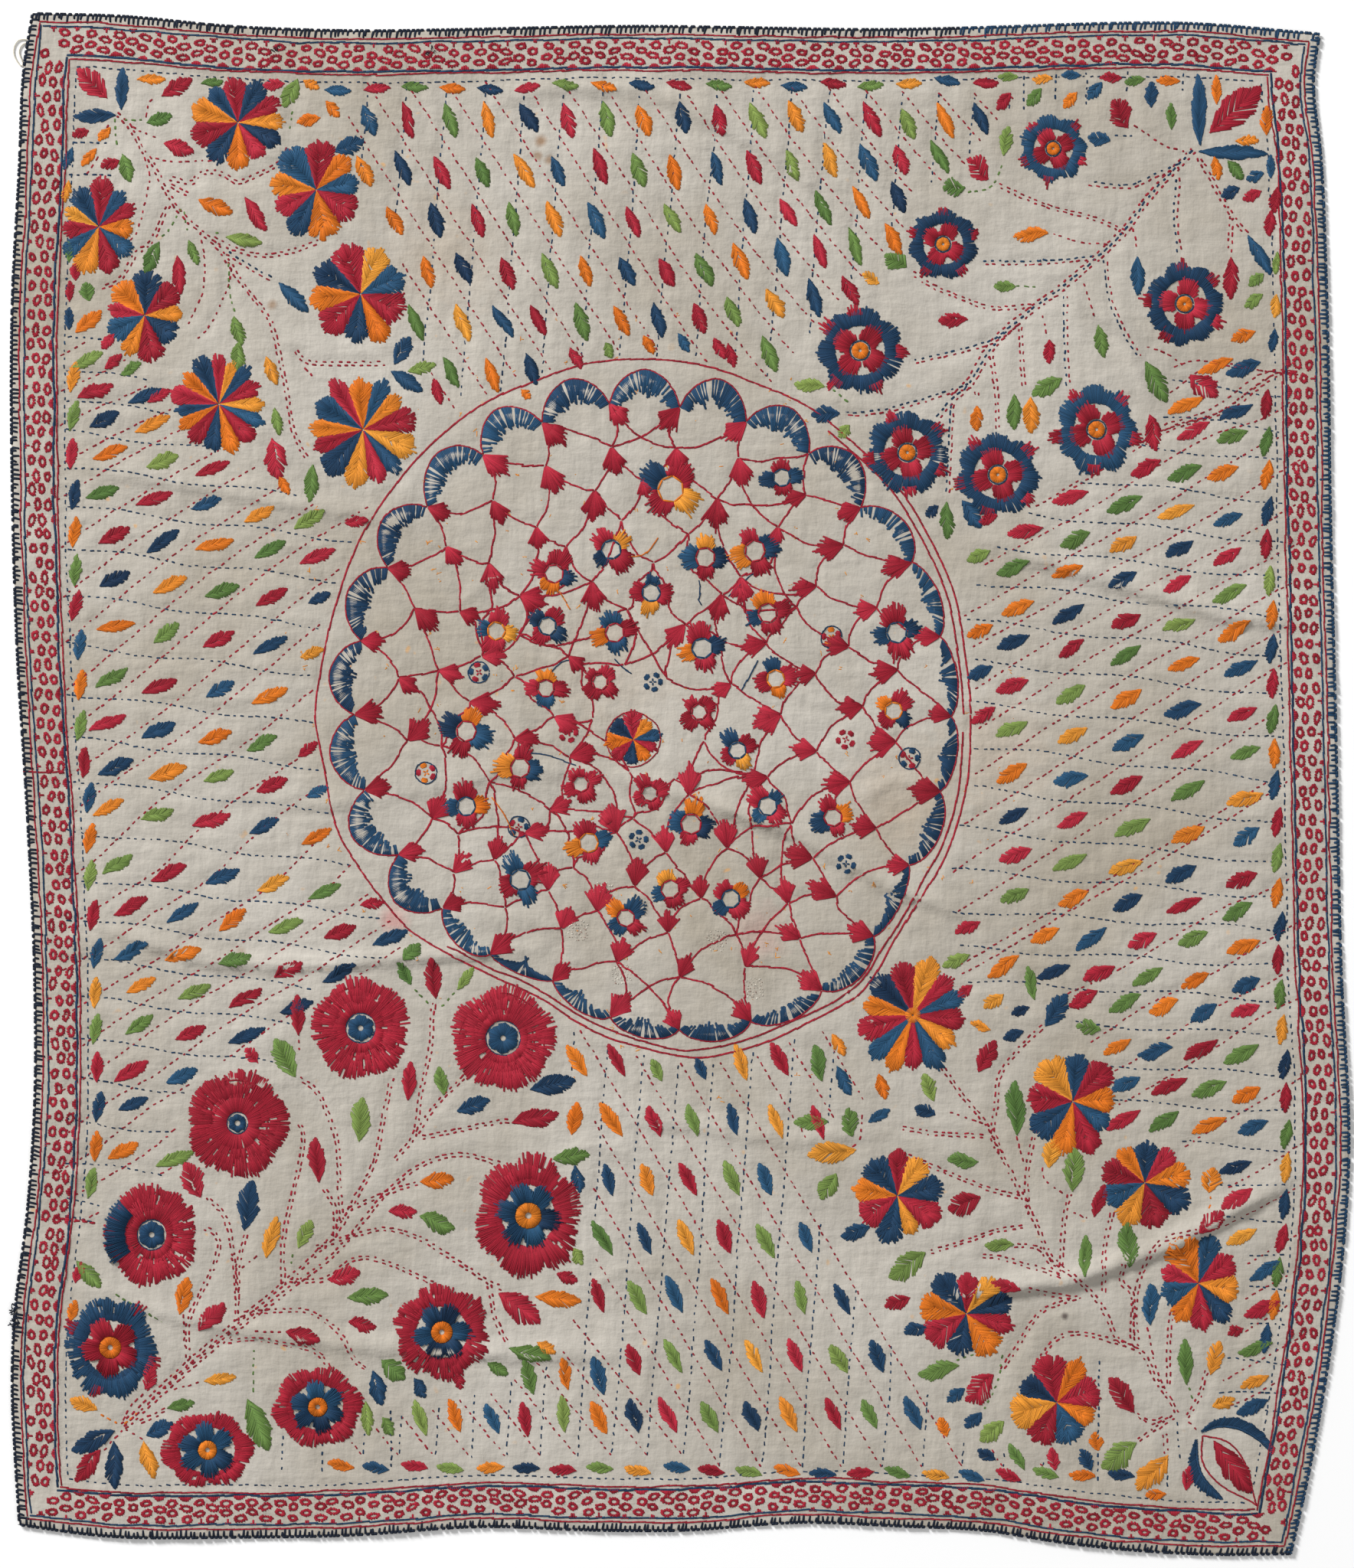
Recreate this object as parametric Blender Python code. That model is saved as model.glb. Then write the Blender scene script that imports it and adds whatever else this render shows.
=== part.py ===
"""Nakshi kantha: a quilted, embroidered cotton cover lying flat, face up, with its hanging loop.

Metres, +Z up. The cover's underside rests on z = 0 and its top edge points to +Y.
The origin is at the middle of the whole object's box, at its underside.
"""

import math

import bmesh
import bpy
import numpy as np
from mathutils import Vector

# ---------------------------------------------------------------- driving dimensions
CLOTH_THICKNESS = 0.0020  # three layers of old cotton, quilted
HEM_THICKNESS = 0.0016  # the sheet is pressed thinner at its stitched rim
COLUMNS = 60  # cells across
ROWS = 70  # cells from bottom to top
QUILT_DIP = 0.00035  # how far a stitched line pulls the face down
QUILT_PITCH_X = 0.0240  # between the upright stitched lines, above and below the medallion
QUILT_PITCH_Y = 0.0250  # between the level stitched lines, left and right of it
UNDERSIDE_SLACK = 0.0008  # a swelling lower than this does not lift the underside
FLAT_ENOUGH = math.radians(0.05)  # underside faces closer than this in angle are merged
MEDALLION_CENTRE = (-0.0220, 0.0437)
MEDALLION_RADIUS = (0.2050, 0.2227)
MEDALLION_RINGS = 3  # stitched rings inside the medallion that show as dips
BORDER_WIDTH = 0.0290
BORDER_DIP = 0.0004  # how far the border's inner line pulls the face down
BORDER_DIP_REACH = 0.0080

LOOP_DIAMETER = 0.0008
LOOP_HEIGHT = 0.00045  # centre of the thread above the surface it lies on
LOOP_POINTS = 36
CURVE_SIDES = 2  # bevel resolution of the thread

# ---------------------------------------------------------------- outline
CORNERS = {
    "top_left": (-0.4060, 0.4834),
    "top_right": (0.4014, 0.4704),
    "bottom_right": (0.3831, -0.4829),
    "bottom_left": (-0.4142, -0.4646),
}

# Each side: share of the way along it, and how far it bulges outward from the straight line.
TOP_SIDE = (
    (0.00, 0.0000), (0.07, -0.0008), (0.15, -0.0058), (0.26, -0.0076), (0.33, -0.0058),
    (0.47, -0.0020), (0.55, -0.0018), (0.66, -0.0015), (0.77, 0.0020), (0.84, 0.0048),
    (0.90, 0.0055), (0.96, 0.0025), (1.00, 0.0000),
)
BOTTOM_SIDE = (
    (0.00, 0.0000), (0.06, 0.0055), (0.17, 0.0048), (0.25, 0.0024), (0.37, -0.0056),
    (0.45, -0.0048), (0.52, -0.0059), (0.62, -0.0128), (0.69, -0.0118), (0.76, -0.0102),
    (0.82, -0.0038), (0.94, 0.0015), (1.00, 0.0000),
)
LEFT_SIDE = (
    (0.00, 0.0000), (0.03, 0.0045), (0.10, 0.0074), (0.19, 0.0112), (0.31, 0.0103),
    (0.42, 0.0064), (0.53, -0.0010), (0.63, -0.0062), (0.73, -0.0070), (0.80, -0.0025),
    (0.86, 0.0042), (0.91, 0.0054), (0.96, 0.0028), (1.00, 0.0000),
)
RIGHT_SIDE = (
    (0.00, 0.0000), (0.025, -0.0034), (0.08, 0.0022), (0.17, 0.0074), (0.32, 0.0126),
    (0.46, 0.0185), (0.61, 0.0244), (0.75, 0.0316), (0.81, 0.0284), (0.87, 0.0218),
    (0.95, 0.0098), (1.00, 0.0000),
)

# ---------------------------------------------------------------- folds
# Soft creases pressed into the cover: height, half width, and the points that the ridge passes.
FOLDS = (
    {"name": "left middle", "height": 0.0042, "reach": 0.015,
     "line": ((-0.372, -0.088), (-0.336, -0.100), (-0.292, -0.113), (-0.234, -0.115),
              (-0.183, -0.111), (-0.132, -0.107), (-0.087, -0.105))},
    {"name": "right upper", "height": 0.0036, "reach": 0.015,
     "line": ((0.194, 0.149), (0.246, 0.133), (0.290, 0.120), (0.342, 0.104), (0.386, 0.100))},
    {"name": "middle right", "height": 0.0032, "reach": 0.015,
     "line": ((-0.042, 0.005), (0.022, -0.014), (0.073, -0.033), (0.124, -0.062),
              (0.188, -0.088))},
    {"name": "middle left", "height": 0.0014, "reach": 0.014,
     "line": ((-0.260, -0.014), (-0.196, -0.011), (-0.106, 0.008), (-0.042, 0.005))},
    {"name": "lower right", "height": 0.0052, "reach": 0.016,
     "line": ((0.169, -0.321), (0.246, -0.312), (0.310, -0.289), (0.380, -0.251))},
    {"name": "lower middle", "height": 0.0016, "reach": 0.014,
     "line": ((-0.036, -0.209), (0.009, -0.216), (0.073, -0.224), (0.118, -0.220))},
    {"name": "lower left", "height": 0.0022, "reach": 0.014,
     "line": ((-0.369, -0.318), (-0.330, -0.331), (-0.273, -0.344), (-0.209, -0.353),
              (-0.106, -0.359), (-0.029, -0.359))},
    {"name": "upper right", "height": 0.0032, "reach": 0.016,
     "line": ((0.175, 0.380), (0.214, 0.341), (0.252, 0.300), (0.273, 0.286), (0.296, 0.238))},
    {"name": "upper left", "height": 0.0018, "reach": 0.014,
     "line": ((-0.388, 0.200), (-0.330, 0.191), (-0.273, 0.180), (-0.221, 0.171),
              (-0.164, 0.161))},
    {"name": "top arc", "height": 0.0020, "reach": 0.015,
     "line": ((-0.118, 0.426), (-0.084, 0.436), (-0.020, 0.435), (0.059, 0.394), (0.119, 0.348))},
)

# ---------------------------------------------------------------- hanging loop
# The thread leaves the rim, swings out, turns at the rim and comes back inside itself.
LOOP_ROUTE = (
    (-0.4094, 0.4669), (-0.4118, 0.4671), (-0.4147, 0.4664), (-0.4169, 0.4637), (-0.4178, 0.4598),
    (-0.4172, 0.4563), (-0.4155, 0.4532), (-0.4138, 0.4510), (-0.4124, 0.4506), (-0.4121, 0.4522),
    (-0.4128, 0.4543), (-0.4138, 0.4566), (-0.4143, 0.4594), (-0.4135, 0.4622), (-0.4118, 0.4641),
    (-0.4097, 0.4648),
)


def smooth_value(table, share):
    """Reads a (share, value) table along a curve that is smooth through its points."""
    shares = np.array([row[0] for row in table])
    values = np.array([row[1] for row in table])
    slopes = np.gradient(values, shares)
    index = int(np.clip(np.searchsorted(shares, share) - 1, 0, len(shares) - 2))
    gap = shares[index + 1] - shares[index]
    t = (share - shares[index]) / gap
    ease = t * t * (3.0 - 2.0 * t)
    rise = values[index] * (1.0 - ease) + values[index + 1] * ease
    lead_out = slopes[index] * gap * t * (1.0 - t) ** 2
    lead_in = slopes[index + 1] * gap * t * t * (1.0 - t)
    return rise + lead_out - lead_in


def side_point(start, end, table, share):
    """A point on one side of the outline; outward is to the left of start -> end."""
    start = Vector(start)
    along = Vector(end) - start
    outward = Vector((-along.y, along.x)).normalized()
    return start + along * share + outward * smooth_value(table, share)


def outline_point(u, v):
    """Blends the four sides, so that u, v in 0..1 fills the uneven outline."""
    # Every side is read clockwise, so that outward stays on its left.
    top = side_point(CORNERS["top_left"], CORNERS["top_right"], TOP_SIDE, u)
    bottom = side_point(CORNERS["bottom_right"], CORNERS["bottom_left"], mirrored(BOTTOM_SIDE), 1.0 - u)
    left = side_point(CORNERS["bottom_left"], CORNERS["top_left"], mirrored(LEFT_SIDE), v)
    right = side_point(CORNERS["top_right"], CORNERS["bottom_right"], RIGHT_SIDE, 1.0 - v)
    corner_blend = (
        Vector(CORNERS["bottom_left"]) * (1.0 - u) * (1.0 - v)
        + Vector(CORNERS["bottom_right"]) * u * (1.0 - v)
        + Vector(CORNERS["top_left"]) * (1.0 - u) * v
        + Vector(CORNERS["top_right"]) * u * v
    )
    return bottom * (1.0 - v) + top * v + left * (1.0 - u) + right * u - corner_blend


def mirrored(table):
    """The same side read from its other end."""
    return tuple((1.0 - share, value) for share, value in reversed(table))


def polyline_nearest(line, x, y):
    """Distance from a point to a line of points, and how far along it the nearest place is."""
    point = np.array((x, y))
    points = np.array(line)
    starts = points[:-1]
    runs = points[1:] - starts
    lengths = np.linalg.norm(runs, axis=1)
    shares = np.clip(((point - starts) * runs).sum(axis=1) / lengths**2, 0.0, 1.0)
    distances = np.linalg.norm(starts + runs * shares[:, None] - point, axis=1)
    best = int(np.argmin(distances))
    travelled = lengths[:best].sum() + shares[best] * lengths[best]
    return float(distances[best]), float(travelled / lengths.sum())


def fold_height(x, y):
    """How far the folds lift the cover at x, y."""
    lift = 0.0
    for fold in FOLDS:
        distance, along = polyline_nearest(fold["line"], x, y)
        if distance >= fold["reach"]:
            continue
        across = 0.5 + 0.5 * math.cos(math.pi * distance / fold["reach"])
        fade = min(1.0, 5.0 * min(along, 1.0 - along) + 0.25)
        lift = max(lift, fold["height"] * across * fade)
    return lift


def snapped(x, y, cell):
    """Moves a grid point up or down onto a ridge less than half a cell away, so that ridges stay crisp."""
    for fold in FOLDS:
        points = np.array(sorted(fold["line"]))
        if not points[0, 0] <= x <= points[-1, 0]:
            continue
        ridge_y = float(np.interp(x, points[:, 0], points[:, 1]))
        if abs(ridge_y - y) < 0.5 * cell:
            return x, ridge_y
    return x, y


def dip(depth, turns):
    """A smooth dip of this depth at every whole number of turns, and none halfway between."""
    return -depth * (0.5 + 0.5 * math.cos(2.0 * math.pi * turns))


def quilt_relief(x, y, inset):
    """The low relief of the quilting: dips along the stitched lines and along the border's inner line."""
    if inset < BORDER_WIDTH:
        return 0.0
    dx = (x - MEDALLION_CENTRE[0]) / MEDALLION_RADIUS[0]
    dy = (y - MEDALLION_CENTRE[1]) / MEDALLION_RADIUS[1]
    from_centre = math.hypot(dx, dy)
    if from_centre < 1.0:
        return dip(QUILT_DIP, MEDALLION_RINGS * from_centre)
    if abs(dy) > abs(dx):
        line = dip(QUILT_DIP, x / QUILT_PITCH_X)
    else:
        line = dip(QUILT_DIP, y / QUILT_PITCH_Y)
    return line - BORDER_DIP * math.exp(-(((inset - BORDER_WIDTH) / BORDER_DIP_REACH) ** 2))


def rim_distance(u, v):
    """Roughly how far a place lies in from the nearest edge."""
    width = CORNERS["top_right"][0] - CORNERS["top_left"][0]
    depth = CORNERS["top_left"][1] - CORNERS["bottom_left"][1]
    return min(u * width, (1.0 - u) * width, v * depth, (1.0 - v) * depth)


def fabric_material(name, colour, roughness):
    material = bpy.data.materials.new(name)
    material.use_nodes = True
    shader = material.node_tree.nodes["Principled BSDF"]
    shader.inputs["Base Color"].default_value = (*colour, 1.0)
    shader.inputs["Roughness"].default_value = roughness
    shader.inputs["Metallic"].default_value = 0.0
    return material


def make_cloth(collection, material):
    """One closed sheet: a grid fitted to the outline, thickened, with its folds and quilting."""
    bm = bmesh.new()
    bmesh.ops.create_grid(bm, x_segments=COLUMNS, y_segments=ROWS, size=0.5)
    made = bmesh.ops.extrude_face_region(bm, geom=bm.faces[:])
    top = {item for item in made["geom"] if isinstance(item, bmesh.types.BMVert)}
    cell = (CORNERS["top_left"][1] - CORNERS["bottom_left"][1]) / ROWS
    for vert in bm.verts:
        u = vert.co.x + 0.5
        v = vert.co.y + 0.5
        place = outline_point(u, v)
        inset = rim_distance(u, v)
        x, y = place.x, place.y
        if inset > 0.5 * cell:
            x, y = snapped(x, y, cell)
        lift = fold_height(x, y)
        if vert in top:
            thickness = CLOTH_THICKNESS if inset > 0.5 * cell else HEM_THICKNESS
            vert.co = (x, y, lift + thickness + quilt_relief(x, y, inset))
        else:
            vert.co = (x, y, max(0.0, lift - UNDERSIDE_SLACK))
    bmesh.ops.recalc_face_normals(bm, faces=bm.faces[:])
    underside = [vert for vert in bm.verts if vert not in top]
    under_edges = [edge for edge in bm.edges if all(vert not in top for vert in edge.verts)]
    bmesh.ops.dissolve_limit(bm, angle_limit=FLAT_ENOUGH, verts=underside, edges=under_edges)
    bmesh.ops.triangulate(bm, faces=bm.faces[:])
    mesh = bpy.data.meshes.new("kantha_cloth")
    bm.to_mesh(mesh)
    bm.free()
    mesh.shade_smooth()
    mesh.materials.append(material)
    cloth = bpy.data.objects.new("kantha_cloth", mesh)
    collection.objects.link(cloth)
    return cloth


def smooth_route(points, count):
    """Evenly spread points on one smooth curve through the route's points."""
    route = np.array(points)
    padded = np.vstack((2 * route[0] - route[1], route, 2 * route[-1] - route[-2]))
    dense = []
    for before, start, end, after in zip(padded, padded[1:], padded[2:], padded[3:]):
        for t in np.linspace(0.0, 1.0, 12, endpoint=False):
            dense.append(
                0.5 * (2 * start + (end - before) * t
                       + (2 * before - 5 * start + 4 * end - after) * t**2
                       + (3 * start - before - 3 * end + after) * t**3)
            )
    dense.append(route[-1])
    dense = np.array(dense)
    travelled = np.concatenate(([0.0], np.cumsum(np.linalg.norm(np.diff(dense, axis=0), axis=1))))
    stops = np.linspace(0.0, travelled[-1], count)
    return np.column_stack([np.interp(stops, travelled, dense[:, axis]) for axis in range(2)])


def make_loop(collection, material):
    """The thin cotton thread loop at the rim, lying on the surface beside the cover."""
    curve = bpy.data.curves.new("hanging_loop", "CURVE")
    curve.dimensions = "3D"
    curve.bevel_depth = 0.5 * LOOP_DIAMETER
    curve.bevel_resolution = CURVE_SIDES
    curve.use_fill_caps = True
    spline = curve.splines.new("POLY")
    route = smooth_route(LOOP_ROUTE, LOOP_POINTS)
    spline.points.add(len(route) - 1)
    for point, (x, y) in zip(spline.points, route):
        point.co = (x, y, LOOP_HEIGHT, 1.0)
    curve.materials.append(material)
    loop = bpy.data.objects.new("hanging_loop", curve)
    collection.objects.link(loop)
    return loop


def main():
    for old in list(bpy.data.objects):
        bpy.data.objects.remove(old, do_unlink=True)
    collection = bpy.data.collections.new("nakshi_kantha")
    bpy.context.scene.collection.children.link(collection)
    make_cloth(collection, fabric_material("old_cotton", (0.56, 0.52, 0.44), 0.9))
    make_loop(collection, fabric_material("cotton_thread", (0.66, 0.60, 0.50), 0.85))


main()
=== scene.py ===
import math

import bpy
import mathutils
import numpy as np
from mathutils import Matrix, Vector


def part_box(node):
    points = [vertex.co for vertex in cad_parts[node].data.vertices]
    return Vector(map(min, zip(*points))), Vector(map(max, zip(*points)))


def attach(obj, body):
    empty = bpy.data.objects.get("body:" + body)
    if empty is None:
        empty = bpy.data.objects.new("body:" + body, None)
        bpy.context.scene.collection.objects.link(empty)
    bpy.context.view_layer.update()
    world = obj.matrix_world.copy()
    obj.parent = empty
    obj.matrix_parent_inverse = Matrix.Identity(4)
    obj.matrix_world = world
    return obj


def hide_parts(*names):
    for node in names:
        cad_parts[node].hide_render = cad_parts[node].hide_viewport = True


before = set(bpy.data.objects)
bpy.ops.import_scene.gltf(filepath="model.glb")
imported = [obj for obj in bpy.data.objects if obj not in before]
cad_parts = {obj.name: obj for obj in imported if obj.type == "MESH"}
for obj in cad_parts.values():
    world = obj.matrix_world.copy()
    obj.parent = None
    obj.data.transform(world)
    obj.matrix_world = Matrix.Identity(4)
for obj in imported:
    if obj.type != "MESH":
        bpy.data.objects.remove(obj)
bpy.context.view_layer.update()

# Every size is in metres, in the part's own frame: x to the right, y up the cloth, z off the floor.
# Angles are in radians, and in degrees only where a table says so.

RNG = np.random.default_rng(2026)
RED, BLUE, NAVY, ORANGE, GREEN, COTTON = "red", "blue", "navy", "orange", "green", "cotton"
CYCLE = (BLUE, RED, GREEN, ORANGE)
FIFTH_TURN = 1.2566
QUARTER_TURN = 1.5708

# Thread sizes: a strand is two plies, laid closely side by side where it fills a shape.
FILL_WIDTH = 0.00130
FILL_PITCH = 0.00105
FILL_HEIGHT = 0.00055
FRINGE_PITCH = 0.00100
PETAL_PITCH = 0.00098
# Running stitch: length of a stitch and of the gap after it, width, height and how far its ends stray.
RUN_DASH = 0.0028
RUN_GAP = 0.0020
RUN_WIDTH = 0.00135
RUN_HEIGHT = 0.0004
RUN_STRAY = 0.00025
# How far each line of a doubled stalk lies from its middle.
STALK_SPREAD = 0.0011

SEWING = {}


# ---------------------------------------------------------------- points and paths

def turned(points, angle):
    """Points turned about the origin."""
    c = math.cos(angle)
    s = math.sin(angle)
    points = np.asarray(points, float)
    return np.column_stack([points[:, 0] * c - points[:, 1] * s, points[:, 0] * s + points[:, 1] * c])


def rays(angles, reach=1.0, squash=1.0):
    """Points at those bearings and that far from the origin, squashed along y."""
    return np.column_stack([np.cos(angles) * reach, np.sin(angles) * reach * squash])


def towards(angle):
    """A step of length one in that direction."""
    return np.array([math.cos(angle), math.sin(angle)])


def leftward(steps):
    """Each step turned a quarter turn to its left."""
    return np.column_stack([-steps[:, 1], steps[:, 0]])


def travelled(path):
    """How far along the path each of its points is."""
    return np.concatenate([[0.0], np.cumsum(np.linalg.norm(np.diff(path, axis=0), axis=1))])


def points_at(path, distance):
    """Points of the path at those distances from its start."""
    run = travelled(path)
    return np.column_stack([np.interp(distance, run, path[:, k]) for k in range(2)])


def smooth_path(points, step=0.001):
    """Evenly spaced points on a smooth curve through the given ones."""
    route = np.asarray(points, float)
    padded = np.vstack([2 * route[0] - route[1], route, 2 * route[-1] - route[-2]])
    t = np.linspace(0, 1, 12, endpoint=False)[:, None]
    parts = []
    for a, b, c, d in zip(padded, padded[1:], padded[2:], padded[3:]):
        curve = 2 * b + (c - a) * t + (2 * a - 5 * b + 4 * c - d) * t**2 + (3 * b - a - 3 * c + d) * t**3
        parts.append(0.5 * curve)
    dense = np.vstack(parts + [route[-1:]])
    whole = travelled(dense)[-1]
    return points_at(dense, np.linspace(0, whole, max(3, int(whole / step))))


def beside(path, offset):
    """The path moved sideways, to its left for a positive offset."""
    run = np.gradient(path, axis=0)
    run /= np.linalg.norm(run, axis=1)[:, None] + 1e-12
    return path + leftward(run) * offset


def drift(at, knots, size, end=1.0):
    """Slow random sway at places from 0 to end, as of a line drawn by hand."""
    return np.interp(at, np.linspace(0, end, knots), RNG.normal(0, size, knots))


# ---------------------------------------------------------------- stitches

def sew(piece, colour, starts, ends, width, height=0.00045, dye=0.5):
    """Adds stitches, from starts to ends, to the piece of that name and colour."""
    starts = np.atleast_2d(starts)
    ends = np.atleast_2d(ends)
    count = len(starts)
    if count == 0:
        return
    columns = [starts, ends]
    for value in (width, height, dye):
        columns.append(np.broadcast_to(value, count))
    SEWING.setdefault((piece, colour), []).append(np.column_stack(columns))


def running(piece, colour, points, gap=RUN_GAP, width=RUN_WIDTH, keep=None, offset=0.0):
    """Running stitch along a smooth path; keep(points) says which stitches are sewn."""
    path = smooth_path(points)
    if offset:
        path = beside(path, offset)
    pitch = RUN_DASH + gap
    count = int(travelled(path)[-1] / pitch)
    if count < 1:
        return
    begin = (np.arange(count) + RNG.uniform(0, 0.4)) * pitch + RNG.normal(0, 0.15 * gap, count)
    finish = begin + RUN_DASH * RNG.uniform(0.72, 1.18, count)
    starts = points_at(path, begin) + RNG.normal(0, RUN_STRAY, (count, 2))
    ends = points_at(path, finish) + RNG.normal(0, RUN_STRAY, (count, 2))
    if keep is not None:
        sewn = keep(0.5 * (starts + ends))
        starts = starts[sewn]
        ends = ends[sewn]
    shade = RNG.uniform(0.0, 0.30)
    sew(piece, colour, starts, ends, width * RNG.uniform(0.85, 1.12, len(starts)), RUN_HEIGHT, shade)


def stemmed(piece, colour, points, stitch=0.0042, width=0.0010, stray=0.00012, height=0.0005, dye=None):
    """Stem stitch: each stitch starts beside the middle of the one before, so the line is unbroken."""
    path = smooth_path(points)
    whole = travelled(path)[-1]
    count = max(1, int(whole / (0.72 * stitch)))
    begin = np.linspace(0, max(whole - stitch, 0), count)
    starts = points_at(path, begin)
    ends = points_at(path, np.minimum(begin + stitch * RNG.uniform(0.9, 1.15, count), whole))
    slant = leftward(ends - starts) * 0.022
    jitter = RNG.normal(0, stray, (count, 2))
    shade = RNG.uniform(0.1, 0.5) if dye is None else dye
    sew(piece, colour, starts - slant + jitter, ends + slant + jitter, width, height, shade)


# ---------------------------------------------------------------- motifs

def leaf(piece, colour, centre, heading, length=0.0235, width=0.0085, slit=None):
    """A leaf in fishbone stitch. heading points from its smooth stalk end to its ragged end."""
    bend = RNG.normal(0, 0.25)
    slit = (0.30 if RNG.uniform() < 0.13 else 0.0) if slit is None else slit
    count = max(6, int(length / FILL_PITCH) + 1)
    t = (np.arange(count) + 0.5) / count
    half = 0.46 * width * np.sin(math.pi * t**1.15) ** 0.80
    spine = bend * 0.20 * width * np.sin(2 * math.pi * t)
    outer_parts = []
    inner_parts = []
    open_side = RNG.choice((1.0, -1.0))
    for side in (1.0, -1.0):
        # Three or four barbs stand out along each side.
        waves = np.sin(math.pi * (t * RNG.uniform(3.0, 4.5) + RNG.uniform(0, 1)))
        barbs = 0.22 * np.abs(waves) * (t > 0.25)
        rough = half * (0.90 + barbs + RNG.normal(0, 0.07, count))
        root = np.clip(t - 0.26 * RNG.uniform(0.85, 1.2, count), 0.01, 1.0)
        far = (t - 0.5) * length + RNG.normal(0, 0.0004, count) + 0.04 * length * barbs
        opened = slit * (side == open_side) * ((t > 0.42) & (t < 0.72))
        vein = np.interp(root, t, spine) + side * (opened * half - 0.0005)
        outer_parts.append(np.column_stack([far, spine + side * rough]))
        inner_parts.append(np.column_stack([(root - 0.5) * length, vein]))
    # Three stitches close the tip and one the stalk end.
    outer_parts.append(np.array([[0.50, 0.0], [0.47, 0.10], [0.48, -0.08], [-0.50, 0.0]]) * (length, width))
    inner_parts.append(np.array([[0.26, 0.02], [0.24, 0.03], [0.25, -0.03], [-0.30, 0.0]]) * (length, width))
    outer = turned(np.vstack(outer_parts), heading) + centre
    inner = turned(np.vstack(inner_parts), heading) + centre
    sew(piece, colour, outer, inner, FILL_WIDTH * RNG.uniform(0.92, 1.15, len(outer)), FILL_HEIGHT,
        RNG.uniform(0.0, 1.0))


def leaves_of(piece, rows):
    """The leaves of a table with colour, x, y, heading in degrees, length and width in each row."""
    for colour, x, y, heading, length, width in rows:
        leaf(piece, colour, (x, y), math.radians(heading), length, width)


def wedge_petal(piece, colour, centre, heading, reach, half_angle):
    """A petal narrow at the heart and ragged at its broad end, in fishbone stitch."""
    count = max(6, int(0.95 * reach / FILL_PITCH))
    t = 0.05 + 0.93 * (np.arange(count) + 0.6) / count
    widest = 0.82 * math.tan(min(half_angle, 0.62)) * reach
    half = widest * np.interp(t, (0.0, 0.80, 0.91, 1.0), (0.0, 1.0, 0.98, 0.66))
    outer_parts = []
    inner_parts = []
    for side in (1.0, -1.0):
        far = t * reach + RNG.normal(0, 0.0004, count)
        far = far - 0.05 * reach * (t > 0.85) * RNG.uniform(0, 1)
        outer_parts.append(np.column_stack([far, side * half * (1.0 + RNG.normal(0, 0.06, count))]))
        root = np.clip(t - 0.24 * RNG.uniform(0.9, 1.15, count), 0.02, 1.0)
        inner_parts.append(np.column_stack([root * reach, np.full(count, -side * 0.0005)]))
    # The broad end bulges outwards and has one notch.
    across = np.linspace(-0.80, 0.80, max(5, int(1.72 * widest / FRINGE_PITCH)))
    notch = RNG.uniform(-0.5, 0.5)
    rim = reach * (1.04 - 0.20 * np.abs(across) ** 2 - 0.08 * np.exp(-((across - notch) / 0.10) ** 2))
    rim = rim + RNG.normal(0, 0.0008, len(across))
    outer_parts.append(np.column_stack([rim, across * widest]))
    inner_parts.append(np.column_stack([rim - 0.30 * reach, across * widest * 0.45]))
    outer = turned(np.vstack(outer_parts), heading) + centre
    inner = turned(np.vstack(inner_parts), heading) + centre
    sew(piece, colour, outer, inner, FILL_WIDTH * RNG.uniform(0.95, 1.18, len(outer)), FILL_HEIGHT,
        RNG.uniform(0.0, 1.0))


def pinwheel(piece, centre, radius, petals, first, turn):
    """A flower of wedge petals, red, orange and blue in turn; radius is (along x, along y)."""
    order = (RED, ORANGE, BLUE)
    start = order.index(first)
    weights = RNG.uniform(0.74, 1.26, petals)
    spans = 2 * math.pi * weights / weights.sum()
    angle = turn
    for k in range(petals):
        middle = angle + 0.5 * spans[k]
        colour = order[(start - k) % 3]
        if k == petals - 1 and colour == first:
            colour = order[(start + 2) % 3]
        reach = math.hypot(radius[0] * math.cos(middle), radius[1] * math.sin(middle))
        wedge_petal(piece, colour, centre, middle, reach * RNG.uniform(0.90, 1.08), 0.49 * spans[k])
        angle += spans[k]


def fringe(piece, colour, centre, inner, outer, start=0.0, span=2 * math.pi, lobes=0, depth=0.10,
           drop=0.02, squash=1.0, ragged=0.028, height=0.0006, pitch=FRINGE_PITCH, slits=()):
    """Radial satin stitches from radius inner to outer; lobes scallops the rim that many times.

    Each slit is a bearing and two radii between which the cloth shows.
    """
    count = max(3, int(span * outer / pitch))
    angles = start + span * (np.arange(count) + 0.5) / count
    wave = 1.0 - depth * (1.0 - np.abs(np.sin(0.5 * lobes * (angles - start)))) if lobes else 1.0
    far = outer * wave * (1 + RNG.normal(0, ragged, count))
    near = inner * (1 + RNG.normal(0, 0.5 * ragged, count))
    for bearing, low, high in slits:
        aside = np.abs(np.angle(np.exp(1j * (angles - bearing)))) * low
        crossed = (aside < 0.00065) & (near < high) & (far > low)
        outward = far - high > low - near
        near = np.where(crossed & outward, high, near)
        far = np.where(crossed & ~outward, low, far)
    lean = RNG.normal(0, 0.010, count)
    starts = rays(angles + lean, far, squash) + centre
    ends = rays(angles, near, squash) + centre
    sewn = (RNG.uniform(0, 1, count) > drop) & (far - near > 0.0009)
    sew(piece, colour, starts[sewn], ends[sewn], 1.38 * pitch * RNG.uniform(0.9, 1.1, sewn.sum()), height,
        RNG.uniform(0.2, 0.8))


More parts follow.
